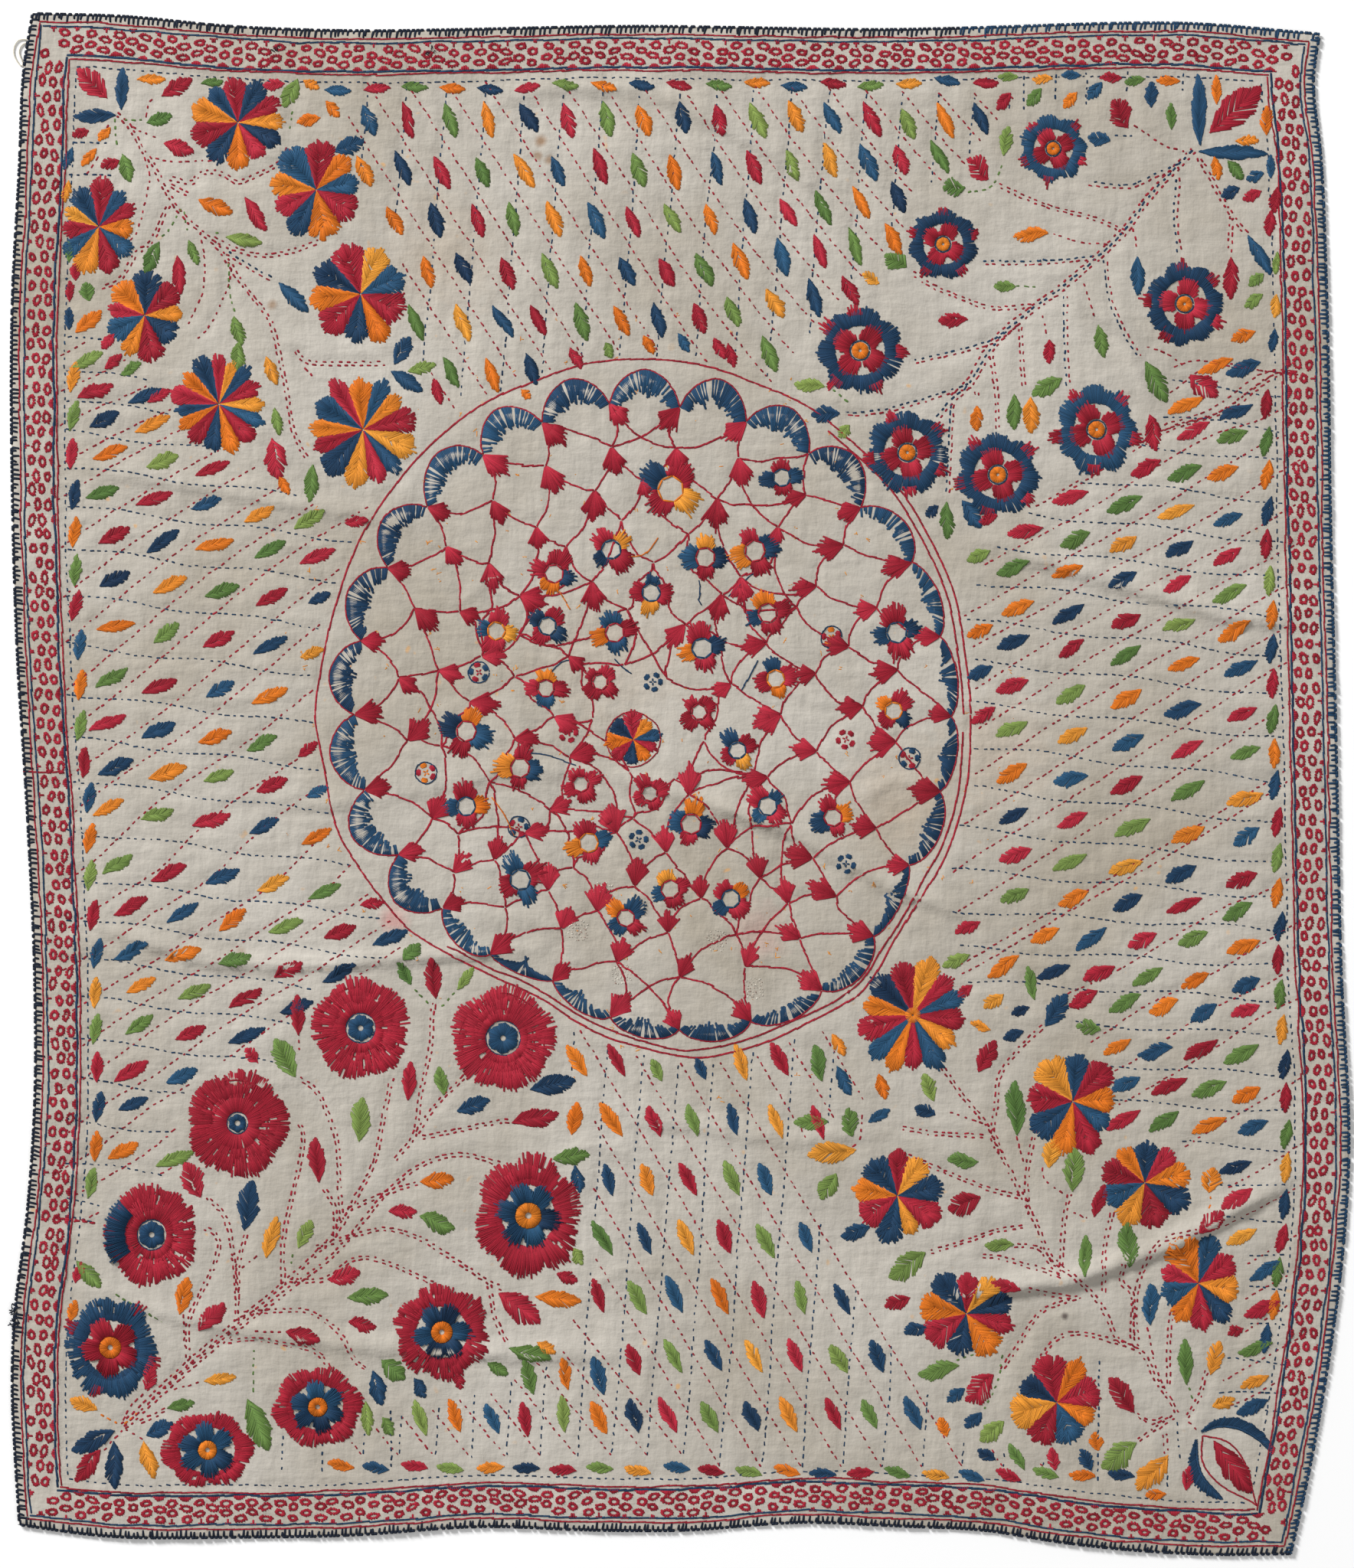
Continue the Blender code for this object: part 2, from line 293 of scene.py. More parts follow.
def random_slits(count, radius, nearest, longest):
    """Slits scattered over a flower of that radius, from the nearest share of it outwards."""
    slits = []
    for _ in range(count):
        low = radius * RNG.uniform(nearest, 0.93)
        slits.append((RNG.uniform(0, 2 * math.pi), low, low + RNG.uniform(0.0018, longest)))
    return slits


def petal(piece, colour, centre, heading, inner, outer, half_angle, height=0.00065, frayed=0.05):
    """A round petal of radial stitches, longest in its middle, with frayed ends."""
    count = max(4, int(2 * half_angle * outer / PETAL_PITCH))
    share = (np.arange(count) + 0.5) / count * 2 - 1
    angles = heading + share * half_angle
    far = inner + (outer - inner) * np.maximum(1 - np.abs(share) ** 3.2, 0.35)
    far = far * (1 + RNG.normal(0, frayed, count))
    lean = RNG.normal(0, 0.25 * frayed, count)
    sew(piece, colour, rays(angles + lean, far) + centre, rays(angles, inner) + centre, FILL_WIDTH, height,
        RNG.uniform(0.0, 1.0))


def ring_line(piece, colour, centre, radius, squash=1.0, width=0.0009, dye=None):
    """A round outline in stem stitch, drawn by hand."""
    angles = np.linspace(0, 2 * math.pi, 13)
    reach = radius * (1 + RNG.normal(0, 0.03, 13))
    reach[-1] = reach[0]
    stemmed(piece, colour, rays(angles, reach, squash) + centre, stitch=0.0030, width=width, dye=dye)


def rosette(piece, centre, radius):
    """A blue fringed flower with a red four-petalled one in it and an orange heart."""
    size = 0.5 * (radius[0] + radius[1])
    squash = radius[1] / radius[0]
    turn = RNG.uniform(0, 1.5)
    for k in range(5):
        heading = turn + 0.5 + k * FIFTH_TURN + RNG.normal(0, 0.12)
        petal(piece, RED, centre, heading, 0.80 * size, 1.06 * size, 0.20)
    fringe(piece, BLUE, centre, 0.56 * radius[0], radius[0], lobes=7, depth=0.16, squash=squash, start=turn)
    for k in range(4):
        heading = turn + k * QUARTER_TURN + RNG.normal(0, 0.08)
        petal(piece, RED, centre, heading, 0.24 * size, 0.66 * size, 0.72, height=0.0007)
    fringe(piece, ORANGE, centre, 0.03 * size, 0.20 * size, drop=0.0, ragged=0.02, height=0.0007)
    ring_line(piece, BLUE, centre, 0.225 * size)


def poppy(piece, centre, radius, heart):
    """A broad red flower in three rounds of stitches, with slits in them and a blue heart."""
    size = 0.5 * (radius[0] + radius[1])
    squash = radius[1] / radius[0]
    turn = RNG.uniform(0, 6)
    slits = random_slits(26, radius[0], 0.42, 0.0048)
    # From the outside in: inner and outer radius, lobes and their depth, start, height, outline's radius.
    rounds = (
        (0.62, 1.00, 5, 0.11, turn, 0.0006, None),
        (0.46, 0.79, 6, 0.12, turn + 1.0, 0.0007, 0.80),
        (heart, 0.57, 6, 0.14, turn + 0.3, 0.0008, 0.58),
    )
    for inner, outer, lobes, depth, start, height, outline in rounds:
        if outline is not None:
            ring_line(piece, RED, centre, outline * radius[0], squash, width=0.0012, dye=0.0)
        fringe(piece, RED, centre, inner * radius[0], outer * radius[0], start, lobes=lobes, depth=depth,
               squash=squash, height=height, slits=slits)
    fringe(piece, BLUE, centre, 0.0016, (heart - 0.02) * size, drop=0.0, lobes=6, depth=0.14, height=0.0008)
    ring_line(piece, BLUE, centre, (heart + 0.01) * size)


def double_flower(piece, centre, radius, outside, inside, share, lobes):
    """A fringed flower with a second, lobed one in it and an orange heart."""
    size = 0.5 * (radius[0] + radius[1])
    squash = radius[1] / radius[0]
    turn = RNG.uniform(0, 6)
    slits = random_slits(18, radius[0], share + 0.08, 0.0045)
    fringe(piece, outside, centre, (share - 0.04) * radius[0], 0.84 * radius[0], lobes=7, squash=squash,
           start=turn + 0.4, slits=slits)
    fringe(piece, outside, centre, (share + 0.06) * radius[0], radius[0], lobes=6, depth=0.12,
           squash=squash, start=turn, height=0.0007, slits=slits)
    for k in range(lobes):
        heading = turn + k * 2 * math.pi / lobes + RNG.normal(0, 0.07)
        petal(piece, inside, centre, heading, 0.22 * size, (share + 0.05) * size, 3.4 / lobes, height=0.0012)
    fringe(piece, ORANGE, centre, 0.05 * size, 0.23 * size, drop=0.0, ragged=0.02, height=0.0012)
    ring_line(piece, BLUE, centre, 0.245 * size)


def ring_flower(piece, centre, radius, colours, turn):
    """A small flower: an open white heart with a many-sided outline and four frayed petals."""
    heart = 0.42 * radius
    stretch = RNG.uniform(0.86, 1.12, 4)
    heading = turn
    for k, colour in enumerate(colours):
        half = 0.98 * math.pi / len(colours) * (1.14 if k % 2 else 0.86)
        petal(piece, colour, centre, heading + half, heart, radius * stretch[k % 4], half, frayed=0.075)
        heading += 2 * half / 0.98
    angles = turn + np.arange(8) * 2 * math.pi / 7
    corners = rays(angles, heart) * RNG.uniform(0.93, 1.07, 8)[:, None]
    corners[-1] = corners[0]
    sew(piece, colours[0], corners[:-1] + centre, corners[1:] + centre, 0.0012, 0.0007)


def tiny_rosette(piece, centre, colours):
    """Five short beans round a little cross, some with a thread round them."""
    centre = np.array(centre)
    turn = RNG.uniform(0, 1.5)
    for k in range(5):
        out = towards(turn + k * FIFTH_TURN + RNG.normal(0, 0.06))
        across = 0.0024 * np.array([-out[1], out[0]])
        middle = centre + 0.0048 * out
        for step, reach in ((-0.0009, 0.8), (0.0, 1.0), (0.0009, 0.75)):
            sew(piece, colours[k % 2], middle - reach * across + step * out,
                middle + reach * across + step * out, 0.0013, 0.0005)
    for k in range(4):
        out = towards(turn + 0.4 + k * QUARTER_TURN)
        sew(piece, colours[1], centre + 0.0003 * out, centre + 0.0024 * out, 0.0011)
    if colours[0] != colours[1]:
        ring_line(piece, BLUE, centre, 0.0068)


def fan(piece, centre, heading, reach, half_angle):
    """A squarish red patch in the corner of a net cell: stitches spread from the crossing."""
    count = max(8, int(2.6 * half_angle * reach / 0.0011))
    share = (np.arange(count) + 0.5) / count * 2 - 1
    angles = heading + share * half_angle
    far = reach * 0.76 / np.cos(0.78 * (1 - np.abs(share))) * (1 + RNG.normal(0, 0.075, count))
    starts = rays(angles, far) + centre
    ends = rays(angles, 0.04 * reach) + centre
    sewn = RNG.uniform(0, 1, count) > 0.08
    shade = RNG.uniform(0.0, 1.0)
    sew(piece, RED, starts[sewn], ends[sewn], FILL_WIDTH, 0.0006, shade)
    # A second, shorter layer lies between the stitches of the first.
    between = angles[:-1] + np.diff(angles) * 0.5
    sew(piece, RED, rays(between, 0.86 * far[:-1]) + centre, rays(between, 0.38 * reach) + centre, 0.00118,
        0.0005, shade)


# ---------------------------------------------------------------- outline and border

def rim_of(cloth):
    """The cloth's outline: points of its upright edge faces, in order round the cloth."""
    mesh = cloth.data
    spots = np.empty(3 * len(mesh.vertices))
    mesh.vertices.foreach_get("co", spots)
    spots = spots.reshape(-1, 3)[:, :2]
    facing = np.empty(3 * len(mesh.polygons))
    mesh.polygons.foreach_get("normal", facing)
    upright = np.abs(facing.reshape(-1, 3)[:, 2]) < 0.5
    corners = set()
    for face, is_upright in zip(mesh.polygons, upright):
        if is_upright:
            corners.update(face.vertices)
    rim = np.unique(np.round(spots[sorted(corners)], 6), axis=0)
    return rim[np.argsort(np.arctan2(rim[:, 1], rim[:, 0]))]


def sides_of(rim, count=241):
    """The outline's four sides as evenly spaced points: top and bottom rightwards, the others down."""
    corner = {
        "top_left": int(np.argmax(rim[:, 1] - rim[:, 0])),
        "top_right": int(np.argmax(rim[:, 1] + rim[:, 0])),
        "bottom_right": int(np.argmax(rim[:, 0] - rim[:, 1])),
        "bottom_left": int(np.argmin(rim[:, 0] + rim[:, 1])),
    }

    def walk(first, last):
        # The rim runs anticlockwise.
        steps = (corner[last] - corner[first]) % len(rim)
        line = rim[(corner[first] + np.arange(steps + 1)) % len(rim)]
        return points_at(line, np.linspace(0, travelled(line)[-1], count))

    return {
        "top": walk("top_right", "top_left")[::-1],
        "left": walk("top_left", "bottom_left"),
        "bottom": walk("bottom_left", "bottom_right"),
        "right": walk("bottom_right", "top_right")[::-1],
    }


def place(sides, u, v):
    """Points at share u across and v down the cloth, following its four uneven sides."""
    u = np.atleast_1d(np.asarray(u, float))
    v = np.atleast_1d(np.asarray(v, float))
    grid = np.linspace(0, 1, len(sides["top"]))
    top, bottom, left, right = (
        np.column_stack([np.interp(share, grid, sides[name][:, k]) for k in range(2)])
        for name, share in (("top", u), ("bottom", u), ("left", v), ("right", v))
    )
    u = u[:, None]
    v = v[:, None]
    corners = ((1 - u) * (1 - v) * sides["top"][0] + u * (1 - v) * sides["top"][-1]
               + (1 - u) * v * sides["bottom"][0] + u * v * sides["bottom"][-1])
    return (1 - v) * top + v * bottom + (1 - u) * left + u * right - corners


CLOTH_SPAN = (0.812, 0.950)
SIDE_SPAN = {"top": CLOTH_SPAN[0], "right": CLOTH_SPAN[1], "bottom": CLOTH_SPAN[0], "left": CLOTH_SPAN[1]}


def on_side(sides, name, share, depth, mitred=True):
    """Points at that share along a side and that deep in from its edge, mitred at the corners."""
    share = np.atleast_1d(np.asarray(share, float))
    depth = np.broadcast_to(depth, share.shape)
    across = depth / CLOTH_SPAN[0]
    down = depth / CLOTH_SPAN[1]
    if not mitred:
        # The share is then measured on the edge itself.
        inset = across if name in ("top", "bottom") else down
        share = (share - inset) / (1 - 2 * inset)
    u = across + share * (1 - 2 * across)
    v = down + share * (1 - 2 * down)
    if name == "top":
        return place(sides, u, down)
    if name == "bottom":
        return place(sides, u, 1 - down)
    if name == "left":
        return place(sides, across, v)
    return place(sides, 1 - across, v)


# The long lines on both sides of the ring band: how far in from the edge, colour and width.
BORDER_LINES = (
    (0.0055, RED, 0.00105),
    (0.0080, BLUE, 0.00115),
    (0.0264, BLUE, 0.00150),
    (0.0284, RED, 0.00105),
)
FINE_LINE_DEPTH = 0.0332

# The ring band is sewn in columns of two kinds, in turn: depth and kind of each patch in them.
COLUMN_PITCH = {"top": 0.0083, "bottom": 0.0083, "left": 0.0090, "right": 0.0090}
RING_COLUMNS = (
    ((0.0120, "ring"), (0.0190, "ring"), (0.0249, "half moon")),
    ((0.0098, "wedge"), (0.0156, "ring"), (0.0222, "ring")),
)
# How far from the corners the columns stop, past their own depth.
CORNER_ROOM = {"top": 0.0005, "bottom": 0.0005, "left": 0.0060, "right": 0.0060}
# Length along the border and width of each kind of patch.
RING_SIZE = (0.0084, 0.0057)
HALF_MOON_SIZE = (0.0098, 0.0034)
WEDGE_SIZE = (0.0048, 0.0038)

# Blanket stitch: pitch, depth of its teeth, widths of a tooth and of the cord along the rim.
BLANKET_PITCH = 0.0030
BLANKET_DEPTH = 0.0048
TOOTH_WIDTH = 0.00155
CORD_WIDTH = 0.0020
# The top edge is sewn in navy up to here and in blue from here on.
TOP_BLUE_FROM = 0.174


def border_lines(sides):
    """The long red and blue lines on both sides of the ring band and the fine line within."""
    share = np.linspace(0, 1, 91)
    for name in SIDE_SPAN:
        for depth, colour, width in BORDER_LINES:
            line = on_side(sides, name, share, depth + drift(share, 46, 0.00038))
            stemmed("border_line", colour, line, stitch=0.0058, width=width, stray=0.00016, height=0.0006)
        line = on_side(sides, name, share, FINE_LINE_DEPTH + drift(share, 31, 0.0004))
        running("fine_line", BLUE, line, gap=0.0022, width=0.00105)


def ring(piece, centre, heading, length, width):
    """A small open ring of short radial stitches."""
    count = 13
    angles = 2 * math.pi * (np.arange(count) + RNG.uniform(0, 1)) / count
    spokes = rays(angles)
    outer = spokes * (0.5 * length, 0.5 * width) * (1 + RNG.normal(0, 0.08, count))[:, None]
    inner = spokes * (0.5 * length - 0.00265, 0.5 * width - 0.00220)
    sew(piece, RED, turned(outer, heading) + centre, turned(inner, heading) + centre, 0.00155, FILL_HEIGHT,
        RNG.uniform(0.0, 0.7))


def patch(piece, centre, heading, length, width, power):
    """A filled patch of stitches side by side on a line, longest in the middle."""
    count = max(3, int(length / 0.00115))
    share = ((np.arange(count) + 0.5) / count - 0.5) * 2
    tall = width * np.maximum(1 - np.abs(share) ** power, 0.25) * (1 + RNG.normal(0, 0.07, count))
    along = 0.5 * length * share
    starts = np.column_stack([along, np.full(count, -0.5 * width)])
    ends = np.column_stack([along * 0.85, -0.5 * width + tall])
    sew(piece, RED, turned(starts, heading) + centre, turned(ends, heading) + centre, 0.00140, FILL_HEIGHT,
        RNG.uniform(0.1, 0.9))


def border_patch(piece, shape, spot, heading, inward):
    """One ring, half moon or wedge of the ring band."""
    if shape == "ring":
        length, width = RING_SIZE
        ring(piece, spot, heading, length * RNG.uniform(0.84, 1.12), width * RNG.uniform(0.90, 1.10))
    elif shape == "half moon":
        # Its flat side lies on the inner line.
        length, width = HALF_MOON_SIZE
        patch(piece, spot, inward + math.pi / 2, length * RNG.uniform(0.8, 1.1), width, 2.2)
    elif RNG.uniform() < 0.93:
        length, width = WEDGE_SIZE
        patch(piece, spot, inward - math.pi / 2, length * RNG.uniform(0.8, 1.2), width, 1.3)


def ring_band(sides):
    """Columns of rings between the border lines, with half moons and wedges against the lines."""
    inward = {"top": -math.pi / 2, "bottom": math.pi / 2, "left": 0.0, "right": math.pi}
    for name, span in SIDE_SPAN.items():
        for kind, column in enumerate(RING_COLUMNS):
            count = int(span / (2 * COLUMN_PITCH[name]))
            along = (np.arange(count) + 0.35 + 0.5 * kind) * span / count
            for depth, shape in column:
                room = depth + CORNER_ROOM[name]
                kept = along[(along > room) & (along < span - room)]
                shares = (kept + RNG.normal(0, 0.0005, len(kept))) / span
                depths = depth + RNG.normal(0, 0.00035, len(kept))
                spots = on_side(sides, name, shares, depths, mitred=False)
                ahead = on_side(sides, name, shares + 0.002, depths, mitred=False) - spots
                for spot, step in zip(spots, ahead):
                    heading = math.atan2(step[1], step[0]) + RNG.normal(0, 0.20)
                    border_patch("border_rings_" + name, shape, spot, heading, inward[name])


def blanket_edge(sides):
    """Blanket stitch along the edge: a cord of thread on the rim and teeth that point inwards."""
    for name, span in SIDE_SPAN.items():
        count = int(span / BLANKET_PITCH)
        shares = (np.arange(count) + 0.5) / count + RNG.normal(0, 0.00055 / span, count)
        deep = BLANKET_DEPTH * (1 + RNG.normal(0, 0.17, count))
        outer = on_side(sides, name, shares, 0.0003, mitred=False)
        inner = on_side(sides, name, shares + RNG.normal(0.0003, 0.0004, count) / span, deep, mitred=False)
        along = on_side(sides, name, np.clip(shares + 1.0 / count, 0, 1), 0.0002, mitred=False)
        if name == "right":
            blue = np.ones(count, bool)
        elif name == "top":
            blue = outer[:, 0] > TOP_BLUE_FROM
        else:
            blue = np.zeros(count, bool)
        sewn = RNG.uniform(0, 1, count) > 0.025
        for colour, chosen in ((BLUE, blue), (NAVY, ~blue)):
            some = chosen & sewn
            sew("blanket", colour, outer[some], inner[some], TOOTH_WIDTH, 0.0006, 0.35)
            sew("blanket", colour, outer[chosen], along[chosen], CORD_WIDTH, 0.0008, 0.35)


# ---------------------------------------------------------------- leaf lattices

MEDALLION_CENTRE = np.array([-0.0220, 0.0437])
MEDALLION_RADIUS = np.array([0.2050, 0.2227])
# The medallion is drawn by hand: share of its radius at bearings in degrees.
MEDALLION_BEARING = (0, 45, 90, 135, 180, 197, 210, 220, 232, 243, 250, 258, 266, 278, 290, 302, 311, 320,
                     329, 338, 350, 360)
MEDALLION_SHARE = (1.0, 1.0, 1.0, 1.0, 1.0, 0.995, 0.970, 0.942, 0.884, 0.856, 0.865, 0.900, 0.935, 0.975,
                   0.995, 1.018, 1.034, 1.0, 0.975, 1.004, 1.0, 1.0)

# Areas, as corner points, that each lattice of leaves fills.
TOP_AREA = (
    (-0.220, 0.449), (0.198, 0.449), (0.212, 0.429), (0.174, 0.381), (0.143, 0.372), (0.140, 0.348),
    (0.111, 0.309), (0.083, 0.285), (0.063, 0.247), (-0.150, 0.235), (-0.160, 0.252), (-0.168, 0.300),
    (-0.180, 0.352), (-0.204, 0.386), (-0.210, 0.424),
)
BOTTOM_AREA = (
    (-0.220, -0.445), (-0.215, -0.416), (-0.177, -0.396), (-0.109, -0.377), (-0.073, -0.353),
    (-0.054, -0.300), (-0.054, -0.248), (-0.056, -0.186), (-0.072, -0.178), (-0.072, -0.150),
    (0.112, -0.150), (0.112, -0.192), (0.118, -0.200), (0.078, -0.222), (0.073, -0.240), (0.083, -0.268),
    (0.102, -0.296), (0.122, -0.330), (0.146, -0.372), (0.179, -0.410), (0.215, -0.424), (0.330, -0.436),
    (0.330, -0.455),
)
LEFT_AREA = (
    (-0.390, 0.280), (-0.354, 0.273), (-0.335, 0.256), (-0.311, 0.223), (-0.268, 0.199), (-0.2245, 0.172),
    (-0.176, 0.175), (-0.176, -0.120), (-0.2245, -0.1205), (-0.2365, -0.1325), (-0.2485, -0.1755),
    (-0.268, -0.1735), (-0.2965, -0.1755), (-0.311, -0.195), (-0.318, -0.219), (-0.3135, -0.243),
    (-0.335, -0.2475), (-0.359, -0.257), (-0.366, -0.2765), (-0.378, -0.3005), (-0.392, -0.305),
)
RIGHT_AREA = (
    (0.3155, 0.273), (0.388, 0.273), (0.393, -0.4205), (0.361, -0.406), (0.342, -0.3965),
    (0.337, -0.3675), (0.354, -0.3435), (0.3565, -0.2955), (0.342, -0.286), (0.342, -0.257),
    (0.318, -0.2285), (0.294, -0.214), (0.265, -0.214), (0.2675, -0.171), (0.2435, -0.154),
    (0.241, -0.1275), (0.212, -0.1275), (0.1785, -0.1255), (0.1715, -0.106), (0.170, 0.098),
    (0.193, 0.146), (0.212, 0.165), (0.234, 0.184), (0.2795, 0.2035), (0.3035, 0.232), (0.306, 0.2515),
)

# Lines of running stitch between the leaves.
SLANT_WIDTH = 0.0012
UPRIGHT_WIDTH = 0.0011
UPRIGHT_GAP = 0.0026


def inside(points, area):
    """Which points lie in the area."""
    points = np.atleast_2d(points)
    corners = np.array(area)
    found = np.zeros(len(points), bool)
    for (x0, y0), (x1, y1) in zip(corners, np.roll(corners, -1, axis=0)):
        crosses = (y0 > points[:, 1]) != (y1 > points[:, 1])
        at = x0 + (points[:, 1] - y0) / (y1 - y0 + 1e-12) * (x1 - x0)
        found ^= crosses & (points[:, 0] < at)
    return found


def off_medallion(points, margin):
    """Which points lie outside the medallion by at least the margin."""
    away = (np.atleast_2d(points) - MEDALLION_CENTRE) / (MEDALLION_RADIUS + margin)
    bearing = np.degrees(np.arctan2(away[:, 1], away[:, 0])) % 360
    return np.hypot(away[:, 0], away[:, 1]) > np.interp(bearing, MEDALLION_BEARING, MEDALLION_SHARE)


def keep_in(area, margin=0.003):
    """A test for stitches that lie in the area and off the medallion."""
    def keep(points):
        return inside(points, area) & off_medallion(points, margin)
    return keep


def lattice_leaf(piece, colour, spot, heading, area, length=0.0232, width=0.0085, margin=0.0065):
    """A leaf of a lattice, left out where it would leave the area."""
    spot = np.asarray(spot) + RNG.normal(0, 0.0010, 2)
    if inside(spot, area)[0] and off_medallion(spot, -0.0005)[0] and not off_medallion(spot, margin)[0]:
        # Beside the medallion the leaves are smaller and stand off its outline.
        away = spot - MEDALLION_CENTRE
        spot = spot + 0.0050 * away / np.linalg.norm(away)
        leaf(piece, colour, spot, heading + RNG.normal(0, 0.15), 0.66 * length, 0.85 * width)
    elif keep_in(area, margin)(spot)[0]:
        leaf(piece, colour, spot, heading + RNG.normal(0, 0.10), length * RNG.uniform(0.86, 1.10),
             width * RNG.uniform(0.85, 1.15))


def lattice_lines(side, slant, start, lean, rises, keep):
    """A red line that slants through the leaves and a blue one from start, along lean and that long."""
    running("slant_" + side, RED, slant, keep=keep, width=SLANT_WIDTH)
    upright = [start + rise * np.array(lean) + RNG.normal(0, 0.0005, 2) for rise in rises]
    running("upright_" + side, BLUE, upright, keep=keep, gap=UPRIGHT_GAP, width=UPRIGHT_WIDTH)


def level_row(piece, order, count, first, step, heading, lean, size):
    """Small leaves in a row along the top or bottom border; lean is their mean turn off the heading."""
    for k in range(count):
        spot = np.array([first[0] + step[0] * k, first[1] + step[1] * k]) + RNG.normal(0, 0.0006, 2)
        leaf(piece, order[k % 4], spot, heading + RNG.normal(lean, 0.12), *size)


def upright_row(sides, side, order, count, first, pitch, top, span, heading, size):
    """Small leaves in a row down a side; first is their first height, top and span the side's own."""
    for k in range(count):
        share = (top - (first - pitch * k)) / span
        spot = on_side(sides, side, share, SIDE_ROW_DEPTH)[0] + RNG.normal(0, 0.0008, 2)
        leaf("leaves_" + side, order[k % 4], spot, heading + RNG.normal(0, 0.08), *size)


# Top and bottom lattices: pitch along a row, step to the next row, and headings of the leaves.
ROW_PITCH = 0.02525
TOP_STEP = (0.0204, -0.0317)
TOP_HEADING = math.radians(-68)
BOTTOM_STEP = (0.0221, -0.0370)
BOTTOM_HEADING = math.radians(112)
LEFT_HEADING = math.radians(24)
RIGHT_HEADING = math.radians(205)
# How far in from the edge the rows of small leaves down both sides run.
SIDE_ROW_DEPTH = 0.0385

# Small leaves squeezed in beside the medallion: colour, x, y, heading in degrees, length, width.
SQUEEZED_LEAVES = (
    (GREEN, -0.0446, 0.2717, -68, 0.0105, 0.0068), (ORANGE, -0.0196, 0.2755, -60, 0.0130, 0.0068),
    (BLUE, 0.0025, 0.2765, -60, 0.0135, 0.0072), (RED, 0.0250, 0.2730, -62, 0.0150, 0.0078),
    (RED, -0.0652, 0.2669, -62, 0.0150, 0.0070), (ORANGE, -0.0964, 0.2443, -45, 0.0080, 0.0060),
    (RED, 0.1930, 0.1660, 200, 0.0130, 0.0070), (GREEN, 0.1870, 0.1430, 205, 0.0160, 0.0085),
    (ORANGE, 0.1880, 0.0960, 205, 0.0180, 0.0085), (BLUE, 0.1880, 0.0700, 205, 0.0180, 0.0085),
    (RED, 0.1900, 0.0430, 215, 0.0180, 0.0085),
)


def top_lattice():
    """Leaves that hang down to the right, red slanting lines and blue upright ones between them."""
    keep = keep_in(TOP_AREA)

    def spot(i, r):
        x = -0.1941 + ROW_PITCH * i - 0.000086 * i * i + TOP_STEP[0] * r
        return np.array([x, 0.4166 + TOP_STEP[1] * r + 0.05 * r * max(x - 0.006, 0.0)])

    for i in range(-8, 20):
        for r in range(0, 7):
            lattice_leaf("leaves_top", CYCLE[i % 4], spot(i, r), TOP_HEADING, TOP_AREA)
        slant = [spot(i + 0.5, r) for r in np.arange(-0.75, 7, 0.75)]
        lattice_lines("top", slant, spot(i + 0.5, -0.7), (-0.083, -1.0), np.arange(0, 0.24, 0.04), keep)
    leaves_of("leaves_top", SQUEEZED_LEAVES)
    level_row("leaves_top", CYCLE, 18, (-0.2145, 0.4355), (0.0239, 0.00025), 0.0, -0.1, (0.0165, 0.0066))


def bottom_lattice():
    """Leaves that stand up to the left, red slanting lines and blue upright ones between them."""
    keep = keep_in(BOTTOM_AREA)

    def spot(i, r):
        if i < -4:
            x = -0.0066 + 0.0223 * (i + 4) + BOTTOM_STEP[0] * (r - 1)
            return np.array([x, -0.3600 + BOTTOM_STEP[1] * r - 0.0096 * (1 - r)])
        return np.array([0.0721 + ROW_PITCH * i + BOTTOM_STEP[0] * r, -0.3586 + BOTTOM_STEP[1] * r])

    order = (RED, GREEN, BLUE, ORANGE)
    left_order = (RED, GREEN, ORANGE, BLUE)
    for i in range(-14, 11):
        for r in range(-6, 2):
            colour = order[i % 4] if i >= -4 else left_order[i % 4]
            lattice_leaf("leaves_bottom", colour, spot(i, r), BOTTOM_HEADING, BOTTOM_AREA)
        slant = [spot(i + 0.5, r) for r in np.arange(1.9, -6, -0.75)]
        lattice_lines("bottom", slant, spot(i + 0.5, 1.9), (0.078, 1.0), np.arange(0, 0.27, 0.045), keep)
    level_row("leaves_bottom", (ORANGE, BLUE, RED, GREEN), 22, (-0.2130, -0.4275), (0.0233, -0.0003), math.pi,
              -0.15, (0.0172, 0.0072))


# Rows of the left lattice: x and y of the leaf nearest the border; each next leaf is one pitch on.
LEFT_ROWS = (
    (-0.3705, 0.2669), (-0.3662, 0.2467), (-0.3623, 0.2280), (-0.3575, 0.2064), (-0.3623, 0.1834),
    (-0.3556, 0.1579), (-0.3532, 0.1291), (-0.3551, 0.0984), (-0.3551, 0.0672), (-0.3580, 0.0379),
    (-0.3537, 0.0120), (-0.3585, -0.0154), (-0.3522, -0.0514), (-0.3446, -0.0768), (-0.3431, -0.1032),
    (-0.3374, -0.1267), (-0.3383, -0.1517), (-0.3446, -0.1786), (-0.3431, -0.2021), (-0.3494, -0.2309),
    (-0.3527, -0.2539), (-0.3600, -0.2760),
)
LEFT_PITCH = 0.0326
LEFT_DROP = -0.126

